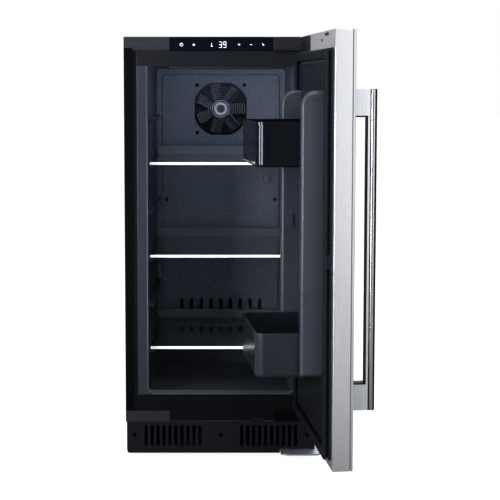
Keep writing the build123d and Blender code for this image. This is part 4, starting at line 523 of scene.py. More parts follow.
@dataclass(frozen=True)
class Brushed(Finish):
    """Stainless steel with belt marks that run upright."""

    MARKS: ClassVar[Point] = (2600.0, 2600.0, 9.0)
    HAZE: ClassVar[Span] = (0.96, 1.04)
    LINE_FACTOR: ClassVar[float] = 0.94
    # Edges lightened as rubbing and as a painted highlight: width, strength and factor.
    WEAR: ClassVar[tuple[float, float, float]] = (0.9 * MM, 0.6, 1.3)
    RIM_SPAN: ClassVar[Span] = (0.03, 0.16)
    RIM_FACTOR: ClassVar[float] = 0.008
    MATT_FACTOR: ClassVar[float] = 0.40
    MATT_ROUGHNESS: ClassVar[float] = 0.6
    MATT_METAL: ClassVar[float] = 0.25
    SCRATCH: ClassVar[float] = 0.2 * MM

    depth: float = 0.025
    swing: float = 0.04
    metal: float = 0.85
    rim_shade: float = 0.0
    matt_plane: Plane | None = None
    matt_above: float = 0.0

    def shade(self, graph: Graph, surface: Any, place: Socket) -> None:
        """Belt marks in gloss and height, hazy bands in colour, bright edges that are rubbed and
        painted highlight, and, where asked, painted shade towards the rims.

        Args:
            graph: The material's node tree.
            surface: The inputs of the Principled shader.
            place: Object coordinates.
        """
        brush = graph.effect(Effect.BRUSH, Vector=place, Spread=self.MARKS)
        colour = self.between(graph, brush["Haze"], self.HAZE)
        colour = graph.mix(brush["Line"], self.tinted(self.LINE_FACTOR), colour)
        colour = self.worn(graph, colour, self.WEAR)
        # Painted shade and painted reflection: the colour darkens where the surface turns away
        # from the view, as dark reflections on a round bar's sides.
        if self.rim_shade:
            facing = graph.add("LayerWeight", Blend=0.5).outputs["Facing"]
            share = graph.span(facing, self.RIM_SPAN, (0.0, self.rim_shade))
            colour = graph.mix(share, colour, self.tinted(self.RIM_FACTOR))
        gloss = self.gloss(graph, brush["Line"], self.swing, self.swing)
        metal = self.metal
        if self.matt_plane:
            above = graph.math("GREATER_THAN", graph.axes(place)["Z"], self.matt_above)
            matt = graph.math("MULTIPLY", self.on_plane(graph, place, self.matt_plane), above)
            colour = graph.mix(matt, colour, self.tinted(self.MATT_FACTOR))
            dull = graph.math("MULTIPLY", matt, self.MATT_ROUGHNESS)
            gloss = graph.math("MAXIMUM", gloss, dull)
            metal = graph.math("MULTIPLY_ADD", matt, self.MATT_METAL - self.metal, self.metal)
        graph.feed(surface["Base Color"], colour)
        graph.feed(surface["Metallic"], metal)
        graph.feed(surface["Roughness"], gloss)
        graph.feed(surface["Normal"], graph.bump(brush["Line"], self.depth, self.SCRATCH))


@dataclass(frozen=True)
class Plated(Finish):
    """Bare or plated metal with spangle: zinc sheet, aluminium, copper and bright steel."""

    DRIFT_SCALE: ClassVar[float] = 30.0
    # Edges lightened as rubbing and as a painted highlight: width, strength and factor.
    WEAR: ClassVar[tuple[float, float, float]] = (0.7 * MM, 0.5, 1.5)
    SWING: ClassVar[Span] = (0.03, 0.05)
    RELIEF: ClassVar[float] = 0.3 * MM
    DEPTH: ClassVar[float] = 0.03

    spangle: float = 160.0
    contrast: float = 0.25

    def shade(self, graph: Graph, surface: Any, place: Socket) -> None:
        """Crystal patches in colour and gloss, and bright edges, partly rubbed and partly a
        painted highlight.

        Args:
            graph: The material's node tree.
            surface: The inputs of the Principled shader.
            place: Object coordinates.
        """
        cells = graph.add("TexVoronoi", Vector=place, Scale=self.spangle)
        patch = graph.axes(cells.outputs["Color"])["X"]
        drift = graph.noise(place, self.DRIFT_SCALE, detail=4.0)
        colour = self.between(graph, patch, (1.0 - self.contrast, 1.0 + self.contrast))
        graph.feed(surface["Base Color"], self.worn(graph, colour, self.WEAR))
        graph.feed(surface["Metallic"], 1.0)
        graph.feed(surface["Roughness"], self.gloss(graph, drift, *self.SWING))
        graph.feed(surface["Normal"], graph.bump(drift, self.DEPTH, self.RELIEF))


@dataclass(frozen=True)
class ClearGlass(Finish):
    """Tempered shelf glass with a faint green body and wiped marks."""

    WIPE_SCALE: ClassVar[float] = 9.0
    WIPE_SPAN: ClassVar[Span] = (0.45, 0.8)
    WIPE_ROUGHNESS: ClassVar[float] = 0.05
    REFRACTION: ClassVar[float] = 1.5
    SHADOW_LIGHT: ClassVar[float] = 0.38

    def shade(self, graph: Graph, surface: Any, place: Socket) -> None:
        """Clear body whose gloss changes a little where it was wiped, with a light shadow.

        Args:
            graph: The material's node tree.
            surface: The inputs of the Principled shader.
            place: Object coordinates.
        """
        wiped = graph.noise(place, self.WIPE_SCALE, detail=5.0)
        marks = (self.roughness, self.roughness + self.WIPE_ROUGHNESS)
        shadow = graph.add("LightPath").outputs["Is Shadow Ray"]
        graph.feed(surface["Base Color"], self.colour)
        graph.feed(surface["Transmission Weight"], 1.0)
        graph.feed(surface["IOR"], self.REFRACTION)
        graph.feed(surface["Roughness"], graph.span(wiped, self.WIPE_SPAN, marks))
        graph.feed(surface["Alpha"], graph.math("MULTIPLY_ADD", shadow, -self.SHADOW_LIGHT, 1.0))


@dataclass(frozen=True)
class Lit(Finish):
    """A diffuser or mark that glows, a little unevenly, or a trim made to glow as painted light.
    """

    CLOUD_SCALE: ClassVar[float] = 60.0
    DIM: ClassVar[float] = 0.85

    strength: float = 1.0
    glow: Colour = WHITE

    def shade(self, graph: Graph, surface: Any, place: Socket) -> None:
        """Milky body with an uneven glow.

        Args:
            graph: The material's node tree.
            surface: The inputs of the Principled shader.
            place: Object coordinates.
        """
        cloud = graph.noise(place, self.CLOUD_SCALE)
        dim = tuple(part * self.DIM for part in self.glow)
        graph.feed(surface["Base Color"], self.colour)
        graph.feed(surface["Roughness"], self.roughness)
        graph.feed(surface["Emission Color"], graph.mix(cloud, dim, self.glow))
        graph.feed(surface["Emission Strength"], self.strength)


@dataclass(frozen=True)
class PrintedBoard(Finish):
    """Circuit board with copper tracks under its lacquer."""

    TRACK_SCALE: ClassVar[float] = 260.0
    TRACK_WIDTH: ClassVar[float] = 0.08
    PAD_FACTOR: ClassVar[float] = 1.4
    TRACK_FACTOR: ClassVar[float] = 2.2

    def shade(self, graph: Graph, surface: Any, place: Socket) -> None:
        """A lattice of tracks, lighter than the lacquer.

        Args:
            graph: The material's node tree.
            surface: The inputs of the Principled shader.
            place: Object coordinates.
        """
        tracks = graph.add(
            "TexBrick", Vector=place, Scale=self.TRACK_SCALE, Mortar_Size=self.TRACK_WIDTH,
            Color1=self.colour, Color2=self.tinted(self.PAD_FACTOR),
            Mortar=self.tinted(self.TRACK_FACTOR))
        graph.feed(surface["Base Color"], tracks.outputs["Color"])
        graph.feed(surface["Roughness"], self.roughness)


@dataclass(frozen=True)
class PaleFloor(Finish):
    """The studio's floor, lifted towards white where the camera sees it."""

    CLOUD_SCALE: ClassVar[float] = 1.5
    CLOUD: ClassVar[Span] = (0.97, 1.03)
    BEHIND: ClassVar[Span] = (-0.5, 0.2)
    BESIDE: ClassVar[Span] = (0.22, 0.55)
    AHEAD: ClassVar[Span] = (-1.2, -1.9)
    MIRRORED: ClassVar[Span] = (0.3, 1.4)
    LIFT: ClassVar[float] = 0.9

    def shade(self, graph: Graph, surface: Any, place: Socket) -> None:
        """Matt paper whose lift doesn't light the object, dim where black faces mirror it.

        Args:
            graph: The material's node tree.
            surface: The inputs of the Principled shader.
            place: Object coordinates.
        """
        seen = graph.add("LightPath").outputs["Is Camera Ray"]
        pale = self.between(graph, graph.noise(place, self.CLOUD_SCALE), self.CLOUD)
        spot = graph.axes(place)
        behind = graph.span(spot["Y"], self.BEHIND)
        beside = graph.span(graph.math("ABSOLUTE", spot["X"]), self.BESIDE)
        ahead = graph.span(spot["Y"], self.AHEAD)
        away = graph.math("MAXIMUM", graph.math("MAXIMUM", behind, beside), ahead)
        mirrored = self.between(graph, away, self.MIRRORED)
        graph.feed(surface["Base Color"], graph.mix(seen, mirrored, pale))
        graph.feed(surface["Roughness"], self.roughness)
        graph.feed(surface["Emission Color"], WHITE)
        graph.feed(surface["Emission Strength"], graph.math("MULTIPLY", seen, self.LIFT))


# A finish is given by colour, roughness and specular level, and by what differs from its class.
FOOT = Plated((0.09, 0.095, 0.10), 0.42, spangle=110.0, contrast=0.07)
LEGS = ("front_left_leg", "front_right_leg", "rear_left_leg", "rear_right_leg")
FINISHES: dict[str, Finish] = {
    "cabinet_paint": Moulded((0.0024, 0.0024, 0.0034), 0.28, 0.07, grain=700.0, depth=0.02,
                             swing=0.015),
    "zinc_steel": Plated((0.42, 0.45, 0.48), 0.38, spangle=110.0, contrast=0.07),
    "trim_plastic": Moulded((0.017, 0.017, 0.022), 0.52, 0.25, grain=1100.0, depth=0.10),
    "touch_panel": Moulded((0.003, 0.0045, 0.009), 0.10, 0.35, depth=0.0, swing=0.03, rub=0.3),
    "board": PrintedBoard((0.02, 0.10, 0.05), 0.45),
    "lamp_diffuser": Lit((0.016, 0.017, 0.022), 0.4, strength=0.004, glow=(0.86, 0.93, 1.0)),
    "foam": Moulded((0.72, 0.62, 0.40), 0.9, 0.2, grain=260.0, depth=0.6, rub=0.0),
    "shelf_glass": ClearGlass((0.90, 0.97, 0.95), 0.0),
    # The shelves' front trims glow though they are no lamp: painted light.
    "bright_trim": Lit((0.88, 0.89, 0.90), 0.30, 0.6, strength=0.45, glow=(0.95, 0.97, 1.0)),
    "grey_trim": Moulded((0.085, 0.09, 0.10), 0.40, 0.45, depth=0.06),
    "air_panel_plastic": Moulded((0.064, 0.069, 0.091), 0.50, 0.42, grain=420.0, depth=0.6,
                                 specks=0.8),
    "fan_plastic": Moulded((0.060, 0.063, 0.075), 0.38, 0.45, depth=0.05),
    "coil_aluminium": Plated((0.72, 0.73, 0.74), 0.34, spangle=60.0, contrast=0.08),
    "copper": Plated((0.72, 0.35, 0.20), 0.30, spangle=90.0, contrast=0.12),
    "machine_black": Moulded((0.014, 0.014, 0.015), 0.40, 0.45, grain=500.0, depth=0.10,
                             dust=0.25),
    "grommet_rubber": Moulded((0.020, 0.020, 0.021), 0.75, 0.25, depth=0.15),
    "tray_plastic": Moulded((0.50, 0.51, 0.52), 0.50, 0.4, depth=0.05, rub=0.0, dust=0.1),
    "gland_plastic": Moulded((0.018, 0.018, 0.019), 0.48, 0.4, depth=0.08),
    "bright_pin": Plated((0.80, 0.81, 0.83), 0.16, contrast=0.05),
    "bush_plastic": Moulded((0.62, 0.62, 0.60), 0.45, 0.4, depth=0.03, rub=0.0),
    "polished_steel": Brushed((0.46, 0.46, 0.465), 0.24, depth=0.0, swing=0.01, metal=1.0,
                              rim_shade=1.0),
    "gasket_rubber": Moulded((0.0065, 0.0075, 0.010), 0.50, 0.15, depth=0.05, rub=0.3),
    "bin_plastic": Moulded((0.003, 0.0036, 0.005), 0.13, 0.30, depth=0.01, rub=0.5),
}
NODE_FINISHES: dict[str, Finish] = {
    "inner_liner": Moulded((0.0235, 0.0258, 0.0325), 0.36, 0.30, grain=800.0, depth=0.06,
                           band=(-258.6 * MM, -257.4 * MM), band_below=125.3 * MM),
    # The door's liner is painted lighter than the cabinet's liner of the same plastic, painted
    # light for how light falls on it.
    "door_liner": Moulded((0.038, 0.042, 0.052), 0.30, 0.30, grain=800.0, depth=0.02, rub=0.15),
    # The lower bin is painted lighter than the other bin of the same plastic: painted light.
    "lower_bin": Moulded((0.011, 0.0122, 0.016), 0.24, 0.55, depth=0.01, rub=0.5),
    "door_frame": Brushed((0.67, 0.661, 0.653), 0.30, depth=0.03),
    "door_front_panel": Brushed((0.60, 0.595, 0.59), 0.30),
    "top_fascia": Moulded((0.0092, 0.0092, 0.0112), 0.30, 0.24, grain=1100.0, depth=0.05),
    "fan_grille": Moulded((0.0015, 0.0015, 0.002), 0.35, 0.08, depth=0.03),
    # The fan's rotor is painted lighter than the fan's plastic to make up for the shade behind the
    # guard: painted light.
    "evaporator_fan_rotor": Moulded((0.24, 0.245, 0.29), 0.36, 0.45, depth=0.03),
    "air_panel_screws": Moulded((0.001, 0.001, 0.0012), 0.6, 0.02, depth=0.03, rub=0.0),
    "cabinet_screws": Moulded((0.0012, 0.0012, 0.0015), 0.5, 0.03, depth=0.03, rub=0.0),
    # The base pan is painted near black so that the kick plate's slots look dark: painted shade.
    "base_pan": Moulded((0.006, 0.006, 0.007), 0.60, 0.2, dust=0.02),
    "door_foam": Moulded((0.15, 0.15, 0.16), 0.9, 0.2, grain=260.0, depth=0.6, rub=0.0),
    "kick_plate": Moulded((0.008, 0.008, 0.011), 0.42, 0.16, grain=700.0, depth=0.12),
    # The upper hinge cover is painted darker than the trim, for the door's shadow over it: painted
    # shade.
    "upper_hinge_cover": Moulded((0.010, 0.010, 0.012), 0.45, 0.2, grain=1100.0, depth=0.08),
    "floor_plate": Plated((0.40, 0.42, 0.455), 0.50, spangle=110.0, contrast=0.05),
    **dict.fromkeys(LEGS, FOOT),
    "control_housing": Moulded((0.012, 0.012, 0.014), 0.55, 0.3, depth=0.10),
    "handle_bracket": Brushed((0.62, 0.625, 0.635), 0.30),
}
MARK_FINISH = Lit((0.9, 0.9, 0.95), 0.3, strength=0.65, glow=(0.93, 0.92, 1.0))
BOSS_FINISH = Moulded((0.030, 0.030, 0.038), 0.42, 0.4, depth=0.03, rub=0.2)
BOSS_RING_FINISH = Moulded((0.50, 0.49, 0.57), 0.40, 0.4, depth=0.03, rub=0.2)
# The bead is painted lighter than the liner: a painted highlight along the opening's edge.
BEAD_HIGHLIGHT_FINISH = Moulded((0.045, 0.050, 0.068), 0.34, 0.45, depth=0.02, rub=0.0)
# Black sheet in the handle's bracket: painted shade.
SHADE_LINING_FINISH = Moulded((0.0025, 0.0025, 0.003), 0.5, 0.1, depth=0.05)
HINGE_PLATE_FINISH = Moulded((0.004, 0.004, 0.005), 0.42, 0.2, depth=0.05)
FLOOR_FINISH = PaleFloor((0.30, 0.30, 0.30), 0.7, 0.1)


@dataclass
class Workshop:
    """Holds the loaded frame, hands out materials and turns a bmesh into a riding piece."""

    frame: dict[str, Any]
    materials: dict[str, bpy.types.Material] = field(default_factory=dict)

    def material(self, name: str, finish: Finish) -> bpy.types.Material:
        """Hand out a material, which is made when it is first asked for.

        Args:
            name: The material's name.
            finish: The finish that it is made from.

        Returns:
            The material of that name.
        """
        if name not in self.materials:
            self.materials[name] = finish.material(name)
        return self.materials[name]

    def dress(self) -> None:
        """Give every CAD node the finish of its slot, or its own where it has one."""
        for row in self.frame["record"]["subparts"]:
            node, slot = row["node"], row["material_slot"]
            own = self.own_finish(node)
            made = self.material(node, own) if own else self.material(slot, FINISHES[slot])
            materials = self.frame["nodes"][node].data.materials
            materials.clear()
            materials.append(made)
        LOG.info("dressed %d CAD nodes", len(self.frame["nodes"]))

    def own_finish(self, node: str) -> Finish | None:
        """Look up a node's own finish.

        Args:
            node: The CAD node's name.

        Returns:
            Its finish, with the planes of the door at rest where it has any, or nothing.
        """
        own = NODE_FINISHES.get(node)
        if node == "door_frame":
            flange = self.door_plane(DOOR_INNER_FACE)
            return replace(own, matt_plane=flange, matt_above=SEAL_TOP)
        # The door liner's recessed field gets painted shade.
        if node == "door_liner":
            return replace(own, dark_plane=self.door_plane(DOOR_FIELD))
        return own

    def door_plane(self, depth: float) -> Plane:
        """Turn a plane of the closed door to the door's rest angle.

        Args:
            depth: The plane's place along Y on the closed door.

        Returns:
            Its normal and its reach along it.
        """
        swing = self.hinge()
        normal = swing.to_3x3() @ Vector(ALONG_Y)
        return tuple(normal), normal.dot(swing @ Vector((0.0, depth, 0.0)))

    def hinge(self) -> Matrix:
        """How a piece drawn on the closed door moves to the door's rest angle.

        Returns:
            The turn about the hinge.
        """
        joint = next(row for row in self.frame["joints"] if row["name"] == "door_hinge")
        pivot = Matrix.Translation(Vector(joint["pos_m"]))
        swing = Matrix.Rotation(-math.radians(joint["range_deg"][0]), 4, "Z")
        return pivot @ swing @ pivot.inverted()

    def piece(self, shape: BMesh, name: str, body: str, slot: str,
              finish: Finish | None = None) -> bpy.types.Object:
        """Turn a finished bmesh into an object that rides on a body.

        Args:
            shape: The mesh, in its place at rest. It is freed.
            name: The piece's name.
            body: The CAD body it rides on.
            slot: The record's material slot, whose finish it takes where it has none of its own.
            finish: Its own finish where that differs from the slot's.

        Returns:
            The new object.
        """
        bmesh.ops.remove_doubles(shape, verts=shape.verts, dist=WELD)
        bmesh.ops.recalc_face_normals(shape, faces=shape.faces)
        made = Shapes.placed(shape, name)
        own = self.material(name, finish) if finish else self.material(slot, FINISHES[slot])
        made.data.materials.append(own)
        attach(made, body)
        LOG.info("made %s with %d faces", name, len(made.data.polygons))
        return made

    def door_piece(self, shape: BMesh, name: str, slot: str,
                   finish: Finish | None = None) -> bpy.types.Object:
        """Make a piece that is drawn on the closed door and rides on the door.

        Args:
            shape: The mesh, in its place on the closed door. It is freed.
            name: The piece's name.
            slot: The record's material slot, whose finish it takes where it has none of its own.
            finish: Its own finish where that differs from the slot's.

        Returns:
            The new object, at the door's rest angle.
        """
        bmesh.ops.transform(shape, matrix=self.hinge(), verts=shape.verts)
        return self.piece(shape, name, "door", slot, finish)


class Shapes:
    """Small bmesh shapes that several pieces use."""

    BEVEL_STEPS = 2

    @staticmethod
    def placed(shape: BMesh, name: str) -> bpy.types.Object:
        """Put a bmesh into the scene.

        Args:
            shape: The mesh. It is freed.
            name: Name of the new object and its mesh.

        Returns:
            The new object.
        """
        mesh = bpy.data.meshes.new(name)
        shape.to_mesh(mesh)
        shape.free()
        made = bpy.data.objects.new(name, mesh)
        bpy.context.scene.collection.objects.link(made)
        return made

    @classmethod
    def plate(cls, shape: BMesh, centre: Point, size: Point, edge: float,
              turn: float = 0.0) -> None:
        """Add a flat block with softened edges.

        Args:
            shape: The bmesh to add to.
            centre: Middle of the block.
            size: Its length along each axis.
            edge: Width of the softened edges.
            turn: Angle about Y, in radians.
        """
        turned = Matrix.Rotation(turn, 4, "Y") @ Matrix.Diagonal((*size, 1.0))
        place = Matrix.Translation(centre) @ turned
        made = bmesh.ops.create_cube(shape, size=1.0, matrix=place)
        sides = list({side for vert in made["verts"] for side in vert.link_edges})
        bmesh.ops.bevel(shape, geom=sides, offset=edge, offset_type="OFFSET",
                        segments=cls.BEVEL_STEPS, profile=0.5, affect="EDGES", material=-1)

    @staticmethod
    def turned(shape: BMesh, outline: list[Span], centre: Point, steps: int = 64) -> None:
        """Spin an outline round an axis along Y.

        Args:
            shape: The bmesh to add to.
            outline: Radius and Y offset of each point, from the axis outwards.
            centre: A point on the axis.
            steps: How many steps the turn has.
        """
        middle = Vector(centre)
        verts = [shape.verts.new(middle + Vector((radius, rise, 0.0))) for radius, rise in outline]
        edges = [shape.edges.new(pair) for pair in zip(verts, verts[1:])]
        Shapes.spun(shape, verts + edges, centre, steps)

    @staticmethod
    def spun(shape: BMesh, profile: list, centre: Point, steps: int) -> None:
        """Spin a profile once round an axis along Y and close it."""
        bmesh.ops.spin(shape, geom=profile, cent=centre, axis=ALONG_Y, dvec=ORIGIN,
                       angle=math.tau, steps=steps, use_merge=True, use_duplicate=False)


@dataclass
class TouchPanel:
    """The lit marks on the touch panel: keys, a small indicator and a two-figure display.

    Places are distances from the panel's middle. A bar is given by its rise and length, and the
    stem by its rise, width and height.
    """

    height: float = 809.8 * MM
    proud: float = 0.3 * MM
    stroke: float = 0.85 * MM
    softness: float = 0.3
    ring_steps: int = 32
    figure: Span = (5.0 * MM, 10.8 * MM)
    figures: tuple[tuple[float, str], ...] = ((-1.0 * MM, "abcdg"), (7.3 * MM, "abcdfg"))
    power: float = -75.8 * MM
    power_ring: Span = (3.2 * MM, 2.4 * MM)
    power_stem: Point = (2.0 * MM, 0.9 * MM, 3.0 * MM)
    lamp: float = -52.2 * MM
    lamp_disc: Span = (1.9 * MM, 0.0)
    indicator: float = -17.8 * MM
    indicator_bars: tuple[Span, ...] = ((1.6 * MM, 1.4 * MM), (-2.4 * MM, 3.0 * MM))
    indicator_stroke: float = 1.8 * MM
    plus: float = 34.9 * MM
    plus_length: float = 4.6 * MM
    minus: float = 58.2 * MM
    minus_length: float = 4.4 * MM
    scale: float = 81.4 * MM
    scale_bars: tuple[Span, ...] = ((0.7 * MM, 5.6 * MM), (-1.0 * MM, 3.2 * MM))
    scale_slant: float = 0.62

    def build(self, shop: Workshop) -> None:
        """Make the figures and the marks on the face of the panel.

        Args:
            shop: The workshop that makes the piece.
        """
        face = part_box("control_panel")[0].y - self.proud / 2
        shop.piece(self.display(face), "panel_figures", "cabinet", "touch_panel", MARK_FINISH)
        shop.piece(self.keys(face), "panel_keys", "cabinet", "touch_panel", MARK_FINISH)

    def display(self, face: float) -> BMesh:
        """Draw the two lit figures in segments.

        Args:
            face: Depth of the marks' middle.

        Returns:
            The figures.
        """
        shape = bmesh.new()
        wide, tall = self.figure
        flat, upright = (wide, self.stroke), (self.stroke, tall / 2)
        bars = {
            "a": (0.0, tall / 2, flat), "d": (0.0, -tall / 2, flat), "g": (0.0, 0.0, flat),
            "b": (wide / 2, tall / 4, upright), "c": (wide / 2, -tall / 4, upright),
            "f": (-wide / 2, tall / 4, upright),
        }
        for middle, segments in self.figures:
            for name in segments:
                across, rise, size = bars[name]
                self.mark(shape, (middle + across, face, rise), size)
        return shape

    def keys(self, face: float) -> BMesh:
        """Draw ring and stem, round lamp, indicator, plus, minus and slanted bars.

        Args:
            face: Depth of the marks' middle.

        Returns:
            The marks.
        """
        shape = bmesh.new()
        rise, wide, tall = self.power_stem
        self.ring(shape, (self.power, face, self.height), self.power_ring)
        self.mark(shape, (self.power, face, rise), (wide, tall))
        self.ring(shape, (self.lamp, face, self.height), self.lamp_disc)
        for rise, length in self.indicator_bars:
            self.mark(shape, (self.indicator, face, rise), (length, self.indicator_stroke))
        for turn in (0.0, math.pi / 2):
            self.mark(shape, (self.plus, face, 0.0), (self.plus_length, self.stroke), turn)
        self.mark(shape, (self.minus, face, 0.0), (self.minus_length, self.stroke))
        for rise, length in self.scale_bars:
            self.mark(shape, (self.scale, face, rise), (length, self.stroke), self.scale_slant)
        return shape

    def mark(self, shape: BMesh, place: Point, size: Span, turn: float = 0.0) -> None:
        """Add one bar.

        Args:
            shape: The bmesh to add to.
            place: Its place across, its depth and its rise over the row of marks.
            size: Its width and height.
            turn: Angle about Y, in radians.
        """
        across, face, rise = place
        wide, tall = size
        Shapes.plate(shape, (across, face, self.height + rise), (wide, self.proud, tall),
                     self.proud * self.softness, turn)

    def ring(self, shape: BMesh, centre: Point, radii: Span) -> None:
        """Add a flat ring, or a disc where the inner radius is nothing.

        Args:
            shape: The bmesh to add to.
            centre: The ring's middle.
            radii: Its outer and its inner radius.
        """
        (outer, inner), half = radii, self.proud / 2
        outline = [(inner, half), (inner, -half), (outer - half, -half), (outer, 0.0),
                   (outer, half)]
        Shapes.turned(shape, outline, centre, self.ring_steps)


@dataclass
class OpeningBead:
    """The rounded bead along the liner's front edge, down one side, across and up the other."""

    radius: float = 1.5 * MM
    corner: float = 14.0 * MM
    shelf_gap: float = 3.5 * MM
    height: float = 642.0 * MM
    sides: int = 12
    steps: int = 8

    def build(self, shop: Workshop) -> None:
        """Draw a circle along the edge, straight and round the two lower corners.

        Args:
            shop: The workshop that makes the piece.
        """
        _, shelf_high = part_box("lower_shelf_glass")
        liner_low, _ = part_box("inner_liner")
        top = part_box("top_fascia")[0].z
        half = shelf_high.x + self.shelf_gap
        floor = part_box("interior_lamp")[1].z - self.height
        front = liner_low.y
        shape = bmesh.new()
        start = bmesh.ops.create_circle(shape, segments=self.sides, radius=self.radius,
                                        matrix=Matrix.Translation((-half, front, top)))
        inner, drop = half - self.corner, top - floor - self.corner
        loop = self.run(shape, start["verts"], (0.0, 0.0, -drop))
        loop = self.bend(shape, loop, (-inner, front, floor + self.corner))
        loop = self.run(shape, loop, (2 * inner, 0.0, 0.0))
        loop = self.bend(shape, loop, (inner, front, floor + self.corner))
        self.run(shape, loop, (0.0, 0.0, drop))
        bmesh.ops.holes_fill(shape, edges=shape.edges, sides=self.sides)
        # Painted highlight: the bead is lighter than the liner it belongs to.
        made = shop.piece(shape, "liner_edge_bead", "cabinet", "liner_plastic", BEAD_HIGHLIGHT_FINISH)
        made.data.shade_smooth()

    @staticmethod
    def rim(shape: BMesh, loop: list[BMVert]) -> list:
        """The edges that lie wholly in a loop of points."""
        return [edge for edge in shape.edges if all(vert in loop for vert in edge.verts)]

    @staticmethod
    def points(parts: list) -> list[BMVert]:
        """The points among some parts of a mesh."""
        return [part for part in parts if isinstance(part, BMVert)]

    def run(self, shape: BMesh, loop: list[BMVert], step: Point) -> list[BMVert]:
        """Draw a loop of points out along a straight step.

        Args:
            shape: The bmesh to add to.
            loop: The loop to start from.
            step: Which way and how far it goes.

        Returns:
            The loop at the far end.
        """
        made = bmesh.ops.extrude_edge_only(shape, edges=self.rim(shape, loop))
        far = self.points(made["geom"])
        bmesh.ops.translate(shape, verts=far, vec=step)
        return far

    def bend(self, shape: BMesh, loop: list[BMVert], centre: Point) -> list[BMVert]:
        """Turn a loop of points a quarter round a corner.

        Args:
            shape: The bmesh to add to.
            loop: The loop to start from.
            centre: The middle of the turn.

        Returns:
            The loop at the far end.
        """
        made = bmesh.ops.spin(shape, geom=loop + self.rim(shape, loop), cent=centre,
                              axis=-Vector(ALONG_Y), dvec=ORIGIN, angle=math.pi / 2,
                              steps=self.steps, use_duplicate=False)
        return self.points(made["geom_last"])


@dataclass
class FanBoss:
    """The plain ringed cap on the middle of the fan guard, by radius and rise in millimetres."""

    height: float = 680.0 * MM
    cap: tuple[Span, ...] = (
        (0.0, 0.9), (4.6, 0.9), (5.2, 0.3), (8.0, 0.3), (8.6, 0.5), (14.2, 0.5), (14.8, 0.1),
        (15.6, 0.1), (16.2, 0.8), (18.8, 0.8), (19.6, 0.3), (19.8, 0.0),
    )
    inner_ring: tuple[Span, ...] = (
        (9.0, 0.4), (9.0, 1.0), (9.4, 1.3), (14.2, 1.3), (14.6, 1.0), (14.6, 0.4),
    )
    outer_ring: tuple[Span, ...] = (
        (18.2, 0.6), (18.2, 0.95), (18.5, 1.1), (19.2, 1.1), (19.5, 0.9), (19.5, 0.3),
    )

    def build(self, shop: Workshop) -> None:
        """Spin the ringed outlines on the face of the guard's boss.

        Args:
            shop: The workshop that makes the piece.
        """
        centre = (0.0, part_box("fan_grille")[0].y, self.height)
        rings = (self.inner_ring, self.outer_ring)
        for name, outlines, finish in (("fan_boss_cap", (self.cap,), BOSS_FINISH),
                                       ("fan_boss_ring", rings, BOSS_RING_FINISH)):
            shape = bmesh.new()
            for outline in outlines:
                points = [(radius * MM, -rise * MM) for radius, rise in outline]
                Shapes.turned(shape, points, centre)
            shop.piece(shape, name, "cabinet", "air_panel_plastic", finish)


@dataclass
class DoorSeal:
    """The magnetic seal of the door: a folded bellows with mitred corners and a joint's sleeve.

    The fold is given by its inset from the seal's outer edge and its rise, in millimetres.
    """

    inner_face: float = DOOR_INNER_FACE
    half_width: float = 178.5 * MM
    bottom: float = 103.0 * MM
    top: float = SEAL_TOP
    sleeve_height: float = 439.0 * MM
    sleeve: Point = (21.6 * MM, 11.0 * MM, 24.0 * MM)
    sleeve_edge: float = 1.2 * MM
    width: float = 20.0 * MM
    base: float = 2.0 * MM
    corners: int = 4
    fold: tuple[Span, ...] = (
        (0.5, 0.0), (19.5, 0.0), (19.5, 2.2), (15.5, 3.0), (13.5, 4.4), (15.5, 5.8),
        (17.5, 6.8), (17.8, 7.6), (17.8, 10.6), (16.8, 11.5), (3.2, 11.5), (2.2, 10.6),
        (2.2, 7.6), (2.5, 6.8), (4.5, 5.8), (6.5, 4.4), (4.5, 3.0), (0.5, 2.2),
    )

    def build(self, shop: Workshop) -> None:
        """Spin the fold round four corners, draw it out to the door's shape and hang it there.

        Args:
            shop: The workshop that makes the piece.
        """
        shape = bmesh.new()
        foot = self.inner_face + self.base
        verts = []
        for inset, rise in self.fold:
            reach = self.half_width - inset * MM
            verts.append(shape.verts.new((reach, foot + rise * MM, reach)))
        edges = [shape.edges.new((vert, verts[index - 1])) for index, vert in enumerate(verts)]
        Shapes.spun(shape, verts + edges, ORIGIN, self.corners)
        middle = (self.top + self.bottom) / 2
        stretch = (self.top - self.bottom) / 2 - self.half_width
        for vert in shape.verts:
            vert.co.z += middle + math.copysign(stretch, vert.co.z)
        across = -self.half_width + self.width / 2
        joint = (across, foot + self.sleeve[1] / 2, self.sleeve_height)
        Shapes.plate(shape, joint, self.sleeve, self.sleeve_edge)
        made = shop.door_piece(shape, "door_seal_bellows", "gasket_rubber")
        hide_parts("door_gasket")


